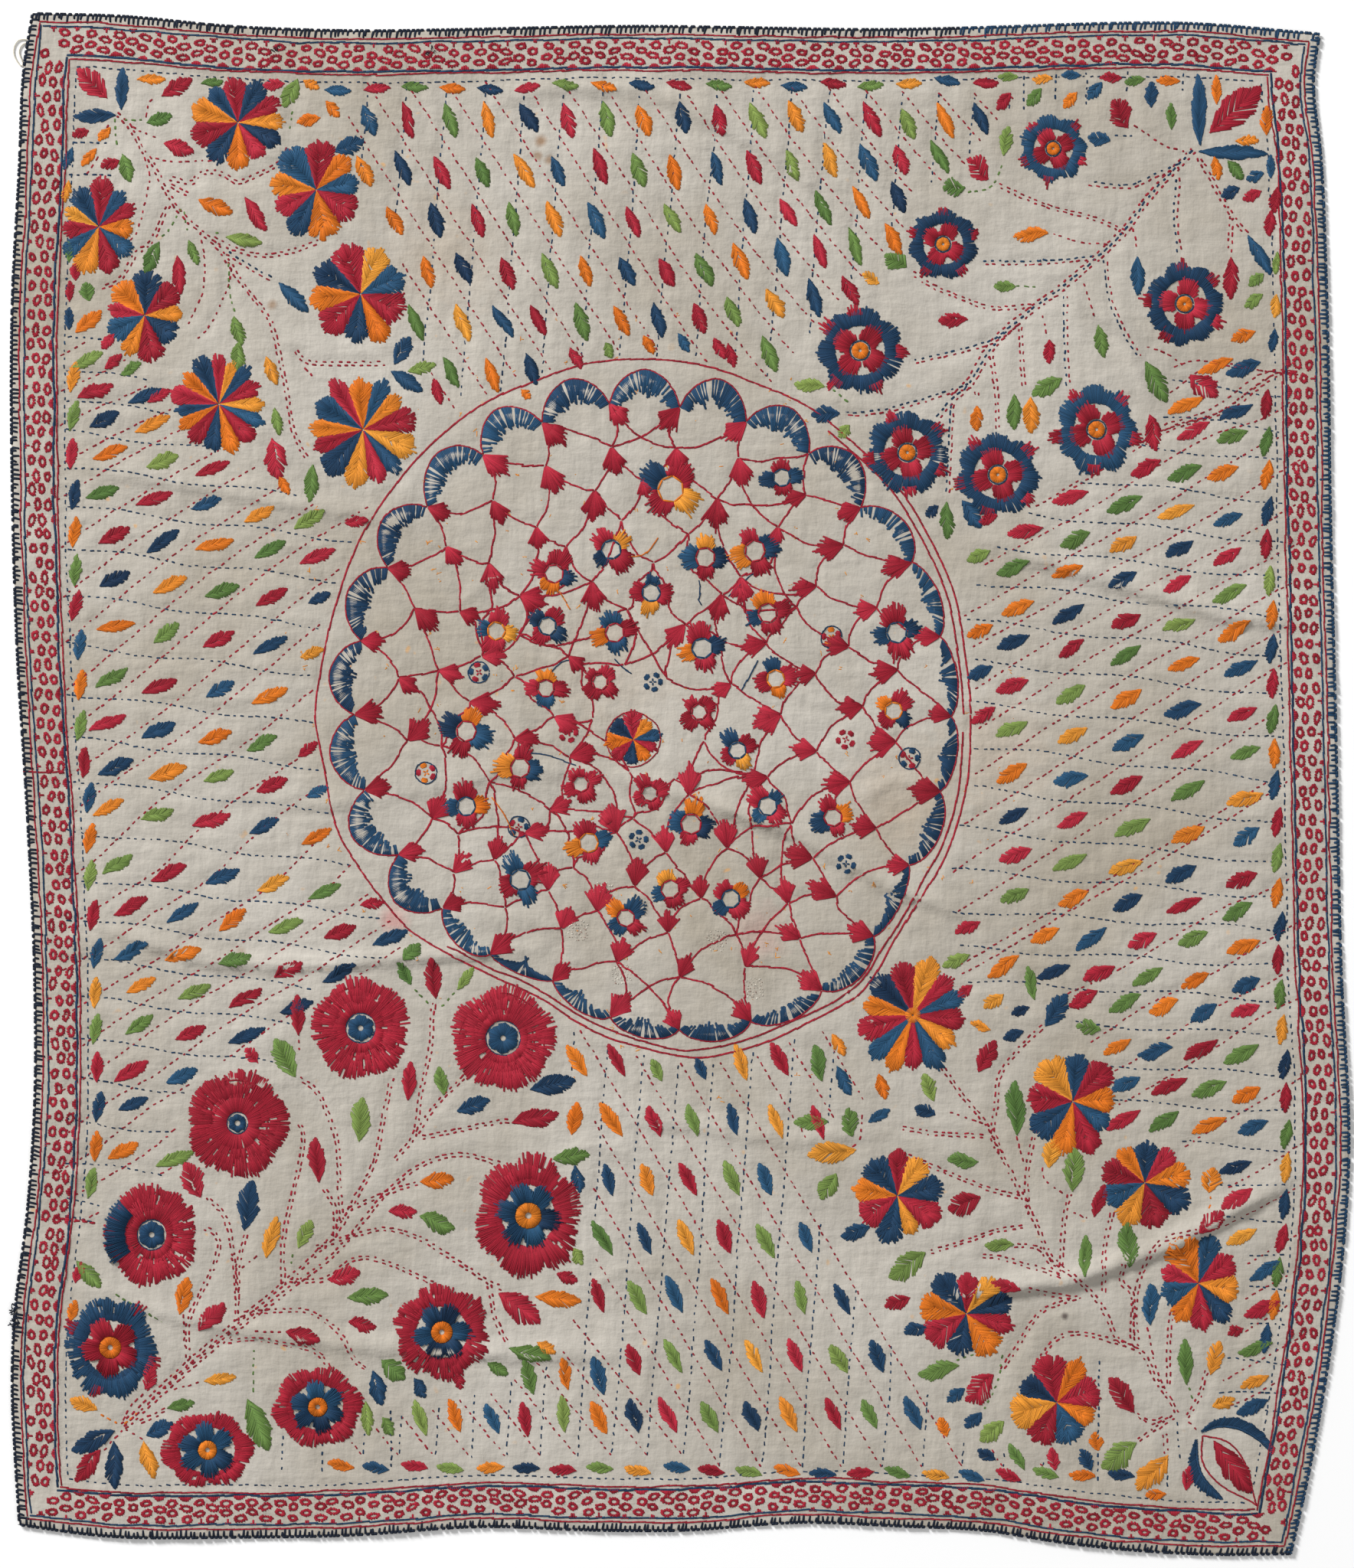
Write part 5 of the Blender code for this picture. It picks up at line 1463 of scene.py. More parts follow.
def medallion():
    """The lotus medallion: a round outline, blue scallops and a red net with small flowers in it."""
    medallion_outline()
    crossings, bearings = net_crossings()
    crossings[0] = scallops(bearings[0])
    net(crossings, bearings)
    medallion_flowers()


# ---------------------------------------------------------------- wear

# Single loose threads that trail from the small flowers: colour, then points.
TRAILS = (
    (BLUE, (0.0120, 0.1280), (0.0130, 0.1200), (0.0110, 0.1170), (0.0135, 0.1120)),
    (BLUE, (0.0490, 0.1340), (0.0400, 0.1270), (0.0300, 0.1170)),
    (ORANGE, (-0.0325, 0.1425), (-0.0220, 0.1440), (-0.0135, 0.1545)),
    (ORANGE, (-0.0757, 0.1210), (-0.0685, 0.1090)),
    (BLUE, (-0.0660, 0.0778), (-0.0740, 0.0765), (-0.0805, 0.0705)),
    (BLUE, (-0.0410, 0.0787), (-0.0360, 0.0730), (-0.0300, 0.0690)),
    (BLUE, (0.0490, 0.0778), (0.0440, 0.0680), (0.0380, 0.0585)),
    (BLUE, (-0.0988, 0.0200), (-0.0830, 0.0180), (-0.0650, 0.0115)),
    (ORANGE, (-0.1180, -0.0080), (-0.1090, -0.0210), (-0.1040, -0.0330)),
)
EDGE_TRAIL = ((-0.4120, 0.0080), (-0.4010, 0.0072), (-0.3900, 0.0075))
# Where the rim thread is torn and stands out: x, y, reach, and the bearings between which it does.
FRAYS = (
    (-0.4165, -0.3290, 0.0040, 1.6, 4.7),
    (-0.4160, -0.3390, 0.0045, 1.6, 4.7),
    (-0.2530, 0.4600, 0.0022, 0.3, 2.8),
    (-0.1560, 0.4580, 0.0022, 0.3, 2.8),
)
DARN_PITCH = 0.0019
DARN_RADIUS = 0.0072
FLECK_COUNT = 260


def darn(centre):
    """A worn patch of short pale stitches in a round."""
    spots = np.stack(np.meshgrid(np.arange(-3, 4), np.arange(-4, 5)), axis=-1).reshape(-1, 2) * DARN_PITCH
    spots = spots + centre + RNG.normal(0, 0.0004, spots.shape)
    spots = spots[np.hypot(*(spots - centre).T) < DARN_RADIUS]
    tilt = RNG.normal(0, 0.00035, spots.shape)
    sew("darns", COTTON, spots - tilt, spots + tilt + (0.0004, 0.0), 0.0008, 0.0004,
        RNG.uniform(0, 1, len(spots)))


def fray(x, y, reach, low, high):
    """Torn ends of rim thread that stand out from one place, each bent once."""
    for _ in range(9):
        angle = RNG.uniform(low, high)
        begin = np.array([x, y]) + RNG.normal(0, 0.0012, 2)
        bend = begin + reach * 0.55 * towards(angle)
        far = bend + reach * 0.5 * towards(angle + RNG.uniform(-1.2, 1.2))
        sew("blanket", NAVY, [begin, bend], [bend, far], 0.0008, 0.0009, 0.4)


def wear():
    """Loose threads, darned patches, orange flecks and torn rim thread."""
    for colour, *points in TRAILS:
        stemmed("trails", colour, points, stitch=0.0050, width=0.0009)
    stemmed("trails", RED, EDGE_TRAIL, width=0.0012)
    for centre in DARNS:
        darn(centre)
    around = RNG.uniform(0, 2 * math.pi, FLECK_COUNT)
    for spot in on_medallion(np.sqrt(RNG.uniform(0, 1.35, FLECK_COUNT)), around):
        for _ in range(RNG.integers(1, 4)):
            reach = RNG.normal(0, 0.0007, 2)
            middle = spot + RNG.normal(0, 0.0006, 2)
            sew("flecks", ORANGE, middle - reach, middle + reach, 0.00055, 0.00018, RNG.uniform(0.7, 1.0))
    for row in FRAYS:
        fray(*row)


def lay_out(sides):
    """Sews the whole cloth."""
    border_lines(sides)
    ring_band(sides)
    blanket_edge(sides)
    top_lattice()
    bottom_lattice()
    left_lattice(sides)
    right_lattice(sides)
    trees()
    medallion()
    wear()


# ================================================================ surface of the cloth

CLOTH_THICKNESS = 0.0020
CELL = 0.0012
CELLS_ACROSS = 280
CELLS_DOWN = 320
UNDER_STEP = 4
# The underside follows the folds from this far below them, so that low ones leave it flat.
UNDER_SLACK = 0.0008
THINNEST = 0.0008
# Depth in from the edge of the rounded hem's rows of points, and the share of the full height there.
HEM_DEPTHS = (0.0, 0.0004, 0.0010, 0.0020, 0.0034)
HEM_SHARES = (0.35, 0.62, 0.78, 0.88, 0.95)
HEM_END = 0.008

# Soft folds: height, reach to each side, and the points that the ridge passes.
FOLDS = (
    (0.0026, 0.011, ((-0.372, -0.088), (-0.336, -0.100), (-0.292, -0.113), (-0.234, -0.115),
                     (-0.183, -0.111), (-0.132, -0.107), (-0.087, -0.105))),
    (0.0030, 0.013, ((0.194, 0.149), (0.246, 0.133), (0.290, 0.120), (0.342, 0.104), (0.386, 0.100))),
    (0.0028, 0.012, ((-0.042, 0.005), (0.022, -0.014), (0.073, -0.033), (0.124, -0.062),
                     (0.188, -0.088))),
    (0.0014, 0.014, ((-0.260, -0.014), (-0.196, -0.011), (-0.106, 0.008), (-0.042, 0.005))),
    (0.0042, 0.013, ((0.169, -0.321), (0.246, -0.312), (0.310, -0.289), (0.380, -0.251))),
    (0.0016, 0.014, ((-0.036, -0.209), (0.009, -0.216), (0.073, -0.224), (0.118, -0.220))),
    (0.0022, 0.014, ((-0.369, -0.318), (-0.330, -0.331), (-0.273, -0.344), (-0.209, -0.353),
                     (-0.106, -0.359), (-0.029, -0.359))),
    (0.0026, 0.014, ((0.175, 0.380), (0.214, 0.341), (0.252, 0.300), (0.273, 0.286), (0.296, 0.238))),
    (0.0018, 0.014, ((-0.388, 0.200), (-0.330, 0.191), (-0.273, 0.180), (-0.221, 0.171),
                     (-0.164, 0.161))),
    (0.0020, 0.015, ((-0.118, 0.426), (-0.084, 0.436), (-0.020, 0.435), (0.059, 0.394), (0.119, 0.348))),
)
# Small sharp creases and puckers, which only the face shows.
CREASES = (
    (0.0011, 0.006, ((0.086, 0.248), (0.118, 0.232), (0.131, 0.236))),
    (0.0010, 0.006, ((0.137, -0.216), (0.169, -0.241))),
    (0.0009, 0.007, ((-0.010, 0.434), (0.031, 0.418))),
    (0.0010, 0.005, ((0.031, 0.143), (0.041, 0.108))),
    (0.0010, 0.005, ((-0.026, -0.065), (-0.020, -0.094))),
    (0.0010, 0.006, ((-0.013, -0.328), (-0.027, -0.398))),
    (0.0012, 0.006, ((-0.018, -0.003), (0.010, -0.020), (0.046, -0.016))),
    (0.0012, 0.006, ((0.020, -0.008), (0.052, -0.027), (0.078, -0.022))),
    (0.0012, 0.006, ((0.110, -0.010), (0.135, 0.004), (0.160, -0.002))),
    (0.0010, 0.006, ((-0.110, -0.082), (-0.080, -0.090), (-0.052, -0.084))),
    (0.0011, 0.006, ((0.160, 0.060), (0.190, 0.048), (0.230, 0.040), (0.275, 0.042))),
    (0.0010, 0.006, ((0.250, -0.150), (0.300, -0.160), (0.345, -0.150))),
    (0.0010, 0.006, ((-0.330, 0.060), (-0.290, 0.052), (-0.245, 0.056))),
    (0.0010, 0.006, ((-0.085, -0.240), (-0.060, -0.226), (-0.030, -0.232))),
    (0.0009, 0.005, ((-0.122, 0.032), (-0.096, 0.026), (-0.070, 0.030))),
    (0.0009, 0.005, ((-0.140, 0.112), (-0.121, 0.128), (-0.098, 0.134))),
    (0.0009, 0.005, ((0.064, 0.062), (0.088, 0.050), (0.118, 0.053))),
    (0.0009, 0.005, ((-0.150, -0.040), (-0.128, -0.052), (-0.104, -0.050))),
    (0.0009, 0.005, ((0.090, -0.120), (0.112, -0.134), (0.126, -0.156))),
    (0.0009, 0.005, ((-0.300, -0.180), (-0.268, -0.190), (-0.240, -0.186))),
    (0.0009, 0.005, ((0.268, 0.190), (0.300, 0.181), (0.330, 0.186))),
    (0.0009, 0.005, ((-0.060, -0.318), (-0.036, -0.304), (-0.006, -0.306))),
)
# What draws the face down: starts of the names of the sewn pieces, how deep and how far from them.
PULLS = (
    (("slant", "upright", "wave", "stalks", "fine_line", "medallion_lines"), 0.00075, 0.0021),
    (("border_line", "leaves", "tree", "flowers"), 0.00045, 0.0028),
)
WRINKLE = 0.00022
SWELL = 0.00035


def blurred(field, across, up):
    """The field blurred by that far in x and y."""
    wave_x = np.fft.fftfreq(field.shape[1], CELL)
    wave_y = np.fft.fftfreq(field.shape[0], CELL)
    keep = np.exp(-2 * math.pi**2 * ((wave_x[None, :] * across) ** 2 + (wave_y[:, None] * up) ** 2))
    return np.fft.ifft2(np.fft.fft2(field) * keep).real


class Surface:
    """Heights of the cloth's face on an even grid, read anywhere between its points."""

    def __init__(self, low, high):
        self.xs = np.arange(low[0] - 0.012, high[0] + 0.012, CELL)
        self.ys = np.arange(low[1] - 0.012, high[1] + 0.012, CELL)
        self.heights = np.full((len(self.ys), len(self.xs)), CLOTH_THICKNESS)

    def cells(self, points):
        """Where points lie on the grid: whole steps and the shares between them."""
        gx = np.clip((points[:, 0] - self.xs[0]) / CELL, 0, len(self.xs) - 1.001)
        gy = np.clip((points[:, 1] - self.ys[0]) / CELL, 0, len(self.ys) - 1.001)
        ix = gx.astype(int)
        iy = gy.astype(int)
        return ix, iy, gx - ix, gy - iy

    def at(self, points, field=None):
        """The height at each point, of the face or of another field on the same grid."""
        field = self.heights if field is None else field
        ix, iy, fx, fy = self.cells(points)
        below = field[iy, ix] * (1 - fx) + field[iy, ix + 1] * fx
        above = field[iy + 1, ix] * (1 - fx) + field[iy + 1, ix + 1] * fx
        return below * (1 - fy) + above * fy

    def ridges(self, rows, soft_ends, steep=1.0):
        """Ridges along lines: each row is a height, a reach and a line; the highest counts.

        steep is the share of the reach that the ridge has to the right of its line.
        """
        lift = np.zeros_like(self.heights)
        for height, reach, line in rows:
            line = np.array(line)
            low = line.min(axis=0) - reach
            high = line.max(axis=0) + reach
            columns = np.flatnonzero((self.xs > low[0]) & (self.xs < high[0]))
            lines = np.flatnonzero((self.ys > low[1]) & (self.ys < high[1]))
            gx, gy = np.meshgrid(self.xs[columns], self.ys[lines])
            nearest = np.full(gx.shape, 9.0)
            along = np.zeros(gx.shape)
            lee = np.zeros(gx.shape)
            run = travelled(line)
            for k, (start, end) in enumerate(zip(line, line[1:])):
                step = end - start
                from_x = gx - start[0]
                from_y = gy - start[1]
                share = np.clip((from_x * step[0] + from_y * step[1]) / (step @ step), 0, 1)
                away = np.hypot(from_x - share * step[0], from_y - share * step[1])
                closer = away < nearest
                nearest = np.where(closer, away, nearest)
                cross = step[0] * from_y - step[1] * from_x
                lee = np.where(closer, np.clip(0.5 - cross / (np.sqrt(step @ step) * 0.004), 0, 1), lee)
                along = np.where(closer, (run[k] + share * (run[k + 1] - run[k])) / run[-1], along)
            width = reach * (1 - lee * (1 - steep))
            across = 0.5 + 0.5 * np.cos(math.pi * np.minimum(nearest / width, 1))
            fade = np.minimum(1.0, 5.0 * np.minimum(along, 1 - along) + soft_ends)
            window = np.ix_(lines, columns)
            lift[window] = np.maximum(lift[window], height * across * fade)
        return lift

    def pull(self, pieces, depth, spread):
        """Sewn lines draw the face down, so that it swells between them."""
        field = np.zeros_like(self.heights)
        for (piece, _), parts in SEWING.items():
            if not piece.startswith(pieces):
                continue
            rows = np.vstack(parts)
            for share in (0.0, 0.5, 1.0):
                ix, iy, _, _ = self.cells(rows[:, 0:2] * (1 - share) + rows[:, 2:4] * share)
                np.add.at(field, (iy, ix), 1.0)
        soft = blurred(field, spread, spread)
        soft = np.minimum(soft / (np.percentile(soft[soft > 0.002], 92) + 1e-9), 1.0)
        self.heights -= depth * soft

    def wrinkle(self):
        """Fine random wrinkles: upright above and below the medallion, level on both sides of it."""
        noise = np.random.default_rng(5)

        def waves(across, up):
            field = blurred(noise.normal(0, 1, self.heights.shape), across, up)
            return field / field.std()

        gx, gy = np.meshgrid(self.xs, self.ys)
        tall = waves(0.0022, 0.0100)
        wide = waves(0.0100, 0.0022)
        round_ones = waves(0.0035, 0.0035)
        upright = np.clip((np.abs(gy - 0.04) - np.abs(gx) * 0.95) / 0.10 + 0.5, 0, 1)
        self.heights += WRINKLE * (0.55 * (tall * upright + wide * (1 - upright)) + 0.35 * round_ones)
        self.heights += SWELL * waves(0.022, 0.022)


def surface_of(low, high):
    """The finished face: folds, creases, puckers and wrinkles."""
    surface = Surface(low, high)
    for pieces, depth, spread in PULLS:
        surface.pull(pieces, depth, spread)
    surface.wrinkle()
    surface.heights += surface.ridges(CREASES, 0.0)
    surface.folds = surface.ridges(FOLDS, 0.25, steep=0.42)
    surface.heights = np.maximum(surface.heights, THINNEST) + surface.folds
    return surface


def hem_share(sides, points):
    """How much of the full height the rounded hem has at points; 1 away from the edge."""
    edge = np.vstack([sides["top"], sides["right"], sides["bottom"][::-1], sides["left"][::-1]])
    starts = edge[:-1]
    steps = np.diff(edge, axis=0)
    sizes = np.maximum((steps**2).sum(axis=1), 1e-12)
    share = np.ones(len(points))
    near = np.flatnonzero((np.abs(points[:, 0]) > 0.36) | (np.abs(points[:, 1]) > 0.43))
    # In blocks, to save memory.
    block = 1500
    for begin in range(0, len(near), block):
        chunk = near[begin:begin + block]
        away = points[chunk][:, None, :] - starts[None]
        t = np.clip((away * steps[None]).sum(axis=2) / sizes, 0, 1)
        away -= t[:, :, None] * steps[None]
        nearest = np.sqrt((away**2).sum(axis=2).min(axis=1))
        share[chunk] = np.interp(nearest, HEM_DEPTHS + (HEM_END,), HEM_SHARES + (1.0,))
    return share


# ================================================================ meshes

def linked(name, data):
    """A new object in the scene."""
    obj = bpy.data.objects.new(name, data)
    bpy.context.scene.collection.objects.link(obj)
    return obj


def mesh_object(name, points, faces, smooth=True):
    """A mesh object from points and faces given as rows of point numbers."""
    mesh = bpy.data.meshes.new(name)
    mesh.from_pydata(points.tolist(), [], faces)
    mesh.update()
    if smooth:
        mesh.shade_smooth()
    return linked(name, mesh)


def flat_map(obj, low, high):
    """Lays the object's texture map flat over the cloth's box."""
    mesh = obj.data
    layer = mesh.uv_layers.new(name="OFBake")
    corner_points = np.empty(len(mesh.loops), int)
    mesh.loops.foreach_get("vertex_index", corner_points)
    spots = np.empty(3 * len(mesh.vertices))
    mesh.vertices.foreach_get("co", spots)
    spots = spots.reshape(-1, 3)[corner_points]
    size = max(high[0] - low[0], high[1] - low[1])
    uv = np.column_stack([(spots[:, 0] - low[0]) / size, (spots[:, 1] - low[1]) / size])
    layer.data.foreach_set("uv", np.clip(uv, 0, 1).ravel())


def hem_spread(cells, span):
    """Shares across the cloth: close together in the hem, even between."""
    edge = np.array(HEM_DEPTHS) / span
    inner = np.linspace(edge[-1], 1 - edge[-1], cells - 2 * (len(edge) - 1) + 1)
    return np.concatenate([edge[:-1], inner, 1 - edge[:-1][::-1]])


def make_cloth(sides, surface, low, high):
    """The cloth: one closed sheet with a fine face, a rounded hem and a plain underside."""
    us = hem_spread(CELLS_ACROSS, CLOTH_SPAN[0])
    vs = hem_spread(CELLS_DOWN, CLOTH_SPAN[1])
    grid_u, grid_v = np.meshgrid(us, vs)
    spots = place(sides, grid_u.ravel(), grid_v.ravel())
    share = np.ones(grid_u.shape)
    for k, level in enumerate(HEM_SHARES):
        for rim in (np.s_[k, :], np.s_[-1 - k, :], np.s_[:, k], np.s_[:, -1 - k]):
            share[rim] = np.minimum(share[rim], level)
    face = np.column_stack([spots, surface.at(spots) * share.ravel()])
    number = np.arange(len(spots)).reshape(grid_u.shape)
    # v runs down the cloth, so this order turns every face up.
    quads = np.stack([number[1:, :-1], number[1:, 1:], number[:-1, 1:], number[:-1, :-1]], axis=-1)
    faces = quads.reshape(-1, 4).tolist()

    # The underside: every fourth row and column, with the rim's own points on its edge.
    rows = np.arange(0, len(vs), UNDER_STEP)
    columns = np.arange(0, len(us), UNDER_STEP)
    under_number = number[np.ix_(rows, columns)].copy()
    inner = under_number[1:-1, 1:-1].ravel()
    lift = np.maximum(surface.at(spots[inner], surface.folds) - UNDER_SLACK, 0.0)
    under = np.column_stack([spots[inner], lift])
    under_number[1:-1, 1:-1] = len(face) + np.arange(len(inner)).reshape(len(rows) - 2, len(columns) - 2)

    def edge_run(row_a, column_a, row_b, column_b):
        """The rim's points from one coarse corner up to the next, if the edge is on the rim."""
        if row_a == row_b and row_a in (0, len(rows) - 1):
            step = 1 if column_b > column_a else -1
            return number[rows[row_a], columns[column_a]:columns[column_b]:step].tolist()
        if column_a == column_b and column_a in (0, len(columns) - 1):
            step = 1 if row_b > row_a else -1
            return number[rows[row_a]:rows[row_b]:step, columns[column_a]].tolist()
        return [int(under_number[row_a, column_a])]

    for i in range(len(rows) - 1):
        for j in range(len(columns) - 1):
            corners = ((i, j), (i, j + 1), (i + 1, j + 1), (i + 1, j))
            loop = []
            for (a, b), (c, d) in zip(corners, corners[1:] + corners[:1]):
                loop.extend(edge_run(a, b, c, d))
            faces.append(loop)
    cloth = mesh_object("quilted_cloth", np.vstack([face, under]), faces)
    flat_map(cloth, low, high)
    return cloth


# A stitch has a point at each end, sunk this far, and two sections of three points between them.
STITCH_SINK = 0.00004
STITCH_POINTS = 8
END_TRIANGLES = ((0, 2, 1), (0, 3, 2), (7, 4, 5), (7, 5, 6))
SIDE_QUADS = ((1, 2, 5, 4), (2, 3, 6, 5))
# Of each section's points: where across the thread and how high on it.
SECTION = ((1.0, 0.05), (0.0, 1.0), (-1.0, 0.05))
# Painted light along each stitch: 0 at an end, painted in shade, 1 on top, painted lightest.
PAINTED_TOP_LIGHT = (0.0, 0.3, 1.0, 0.3, 0.3, 1.0, 0.3, 0.0)


def make_stitches(name, rows, surface, sides, noise):
    """One mesh of arched stitches."""
    count = len(rows)
    starts = rows[:, 0:2]
    ends = rows[:, 2:4]
    width = rows[:, 4]
    height = rows[:, 5]
    along = ends - starts
    size = np.linalg.norm(along, axis=1)[:, None] + 1e-9
    side = leftward(along) / size * 0.5 * width[:, None]
    points = np.empty((count, STITCH_POINTS, 3))
    hem = hem_share(sides, 0.5 * (starts + ends))

    def level(spots):
        return surface.at(spots) * np.where(hem < 1.0, np.maximum(hem, 0.80), 1.0)

    for number, spots in ((0, starts), (STITCH_POINTS - 1, ends)):
        points[:, number, :2] = spots
        points[:, number, 2] = level(spots) - STITCH_SINK
    # Each end is rounded over about half of the thread's width.
    taper = np.minimum(0.28, (0.28 * width + 0.00008) / size[:, 0])[:, None]
    for first, share in ((1, taper), (4, 1 - taper)):
        middle = starts + along * share
        base = level(middle)
        swell = height * noise.uniform(0.88, 1.12, count)
        for number, (sway, rise) in enumerate(SECTION, first):
            points[:, number, :2] = middle + side * sway
            points[:, number, 2] = base + swell * rise
    offset = STITCH_POINTS * np.arange(count)[:, None]
    triangles = np.vstack([offset + np.array(corners) for corners in END_TRIANGLES])
    quads = np.vstack([offset + np.array(corners) for corners in SIDE_QUADS])

    mesh = bpy.data.meshes.new(name)
    mesh.vertices.add(STITCH_POINTS * count)
    mesh.vertices.foreach_set("co", points.ravel())
    loops = np.concatenate([triangles.ravel(), quads.ravel()])
    mesh.loops.add(len(loops))
    mesh.loops.foreach_set("vertex_index", loops)
    lengths = np.concatenate([np.full(len(triangles), 3), np.full(len(quads), 4)])
    mesh.polygons.add(len(lengths))
    mesh.polygons.foreach_set("loop_start", np.concatenate([[0], np.cumsum(lengths)[:-1]]))
    mesh.update(calc_edges=True)
    mesh.shade_smooth()

    # Dye, tone, and the painted shade at each stitch's ends and painted highlight on its top, read by the
    # thread material.
    strand = np.ones((count, STITCH_POINTS, 4))
    strand[:, :, 0] = rows[:, 6][:, None]
    strand[:, :, 1] = noise.uniform(0, 1, count)[:, None]
    strand[:, :, 2] = np.array(PAINTED_TOP_LIGHT)
    layer = mesh.attributes.new("strand", "FLOAT_COLOR", "POINT")
    layer.data.foreach_set("color", strand.ravel())
    return linked(name, mesh)


# ================================================================ materials

class Material:
    """A new material with its shader, and what adds nodes to it."""

    def __init__(self, name):
        self.data = bpy.data.materials.new(name)
        self.data.use_nodes = True
        self.tree = self.data.node_tree
        self.shader = self.tree.nodes["Principled BSDF"]

    def feed(self, node, inputs):
        """Gives a node's inputs values or the outputs of other nodes."""
        for key, value in inputs.items():
            if isinstance(value, bpy.types.NodeSocket):
                self.tree.links.new(value, node.inputs[key])
            else:
                node.inputs[key].default_value = value

    def add(self, kind, inputs=None, **settings):
        """The outputs of a new node."""
        node = self.tree.nodes.new(kind)
        for key, value in settings.items():
            setattr(node, key, value)
        self.feed(node, inputs or {})
        return node.outputs

    def noise(self, scale, detail=2.0, stretch=(1, 1, 1), roughness=0.5):
        """Noise in the object's own space, drawn out along the axes where stretch is small."""
        spot = self.add("ShaderNodeTexCoord")["Object"]
        vector = self.add("ShaderNodeVectorMath", {0: spot, 1: stretch}, operation="MULTIPLY")["Vector"]
        inputs = {"Vector": vector, "Scale": scale, "Detail": detail, "Roughness": roughness}
        return self.add("ShaderNodeTexNoise", inputs)["Fac"]

    def span(self, value, low, high, to_low, to_high):
        """The value, brought from one range to another and held within it."""
        inputs = {"Value": value, "From Min": low, "From Max": high, "To Min": to_low, "To Max": to_high}
        return self.add("ShaderNodeMapRange", inputs)["Result"]

    def combine(self, first, second, operation="MULTIPLY"):
        """Two values made into one."""
        return self.add("ShaderNodeMath", {0: first, 1: second}, operation=operation)["Value"]

    def scaled(self, colour, factor):
        """The colour, lighter or darker by the factor."""
        return self.add("ShaderNodeVectorMath", {0: colour, "Scale": factor}, operation="SCALE")["Vector"]

    def mixed(self, factor, under, over):
        """One colour over another, by the factor."""
        inputs = {"Factor": factor, "A": under, "B": over}
        return self.add("ShaderNodeMix", inputs, data_type="RGBA")["Result"]

    def ramp(self, factor, *stops):
        """A colour ramp through stops of (place, (r, g, b))."""
        outputs = self.add("ShaderNodeValToRGB", {"Fac": factor})
        elements = outputs["Color"].node.color_ramp.elements
        while len(elements) < len(stops):
            elements.new(0.5)
        for element, (spot, colour) in zip(elements, stops):
            element.position = spot
            element.color = (*colour, 1.0)
        return outputs["Color"]

    def bump(self, height, strength, distance, **under):
        """Fine relief, over another where Normal is given."""
        inputs = {"Height": height, "Strength": strength, "Distance": distance, **under}
        return self.add("ShaderNodeBump", inputs)["Normal"]


def thread_material(name, dark, middle, light):
    """Embroidery cotton: dye differs between motifs, tone between stitches; ends painted in shade, tops
    painted light.
    """
    material = Material(name)
    strand = material.add("ShaderNodeAttribute", attribute_name="strand")["Color"]
    parts = material.add("ShaderNodeSeparateColor", {"Color": strand})
    dyed = material.ramp(parts["Red"], (0.0, dark), (0.5, middle), (1.0, light))
    tone = material.span(parts["Green"], 0.0, 1.0, 0.78, 1.22)
    # Painted shade on the stitch ends and a painted highlight on their tops, from the strand's third channel.
    end = material.span(parts["Blue"], 0.0, 1.0, 0.40, 1.14)
    fibre = material.noise(1500.0, roughness=0.6)
    fibre_tone = material.span(fibre, 0.3, 0.7, 0.88, 1.12)
    fade = material.span(material.noise(16.0, 3.0), 0.3, 0.7, 0.93, 1.08)
    shade = material.combine(material.combine(material.combine(tone, end), fibre_tone), fade)
    material.feed(material.shader, {
        "Base Color": material.scaled(dyed, shade),
        "Normal": material.bump(fibre, 0.35, 0.0002),
        "Roughness": 0.72,
        "Specular IOR Level": 0.20,
        "Sheen Weight": 0.04,
        "Sheen Roughness": 0.5,
    })
    return material.data


# Old cotton from the cleanest to the most soiled, and the colour of its specks.
SOILING = ((0.0, (0.488, 0.455, 0.403)), (0.45, (0.436, 0.402, 0.348)), (1.0, (0.376, 0.335, 0.272)))
SPECK = (0.62, 0.34, 0.12)
# Which way the threads run: noise stretched along x or along y.
ALONG_X = (0.05, 1.0, 1.0)
ALONG_Y = (1.0, 0.05, 1.0)
BROWN = (0.240, 0.120, 0.045)
PINK = (0.560, 0.220, 0.210)
TAN = (0.440, 0.300, 0.180)
INK = (0.05, 0.03, 0.03)
# Stains in the cotton: x, y, reach, strength and colour.
STAINS = (
    (-0.0873, 0.4032, 0.0050, 0.75, BROWN), (-0.0820, 0.3912, 0.0042, 0.65, BROWN),
    (-0.0892, 0.3936, 0.0040, 0.60, BROWN), (-0.2553, 0.3005, 0.0042, 0.60, BROWN),
    (0.2415, -0.3336, 0.0030, 0.80, INK), (-0.1790, -0.0850, 0.0110, 0.55, PINK),
    (-0.2750, -0.1050, 0.0040, 0.35, BROWN), (0.0500, -0.0930, 0.0220, 0.22, PINK),
    (0.2000, 0.0200, 0.0450, 0.22, TAN), (-0.0400, 0.0800, 0.0600, 0.16, TAN),
    (0.1400, -0.0100, 0.0500, 0.20, TAN), (-0.1500, 0.3300, 0.0500, 0.16, TAN),
)


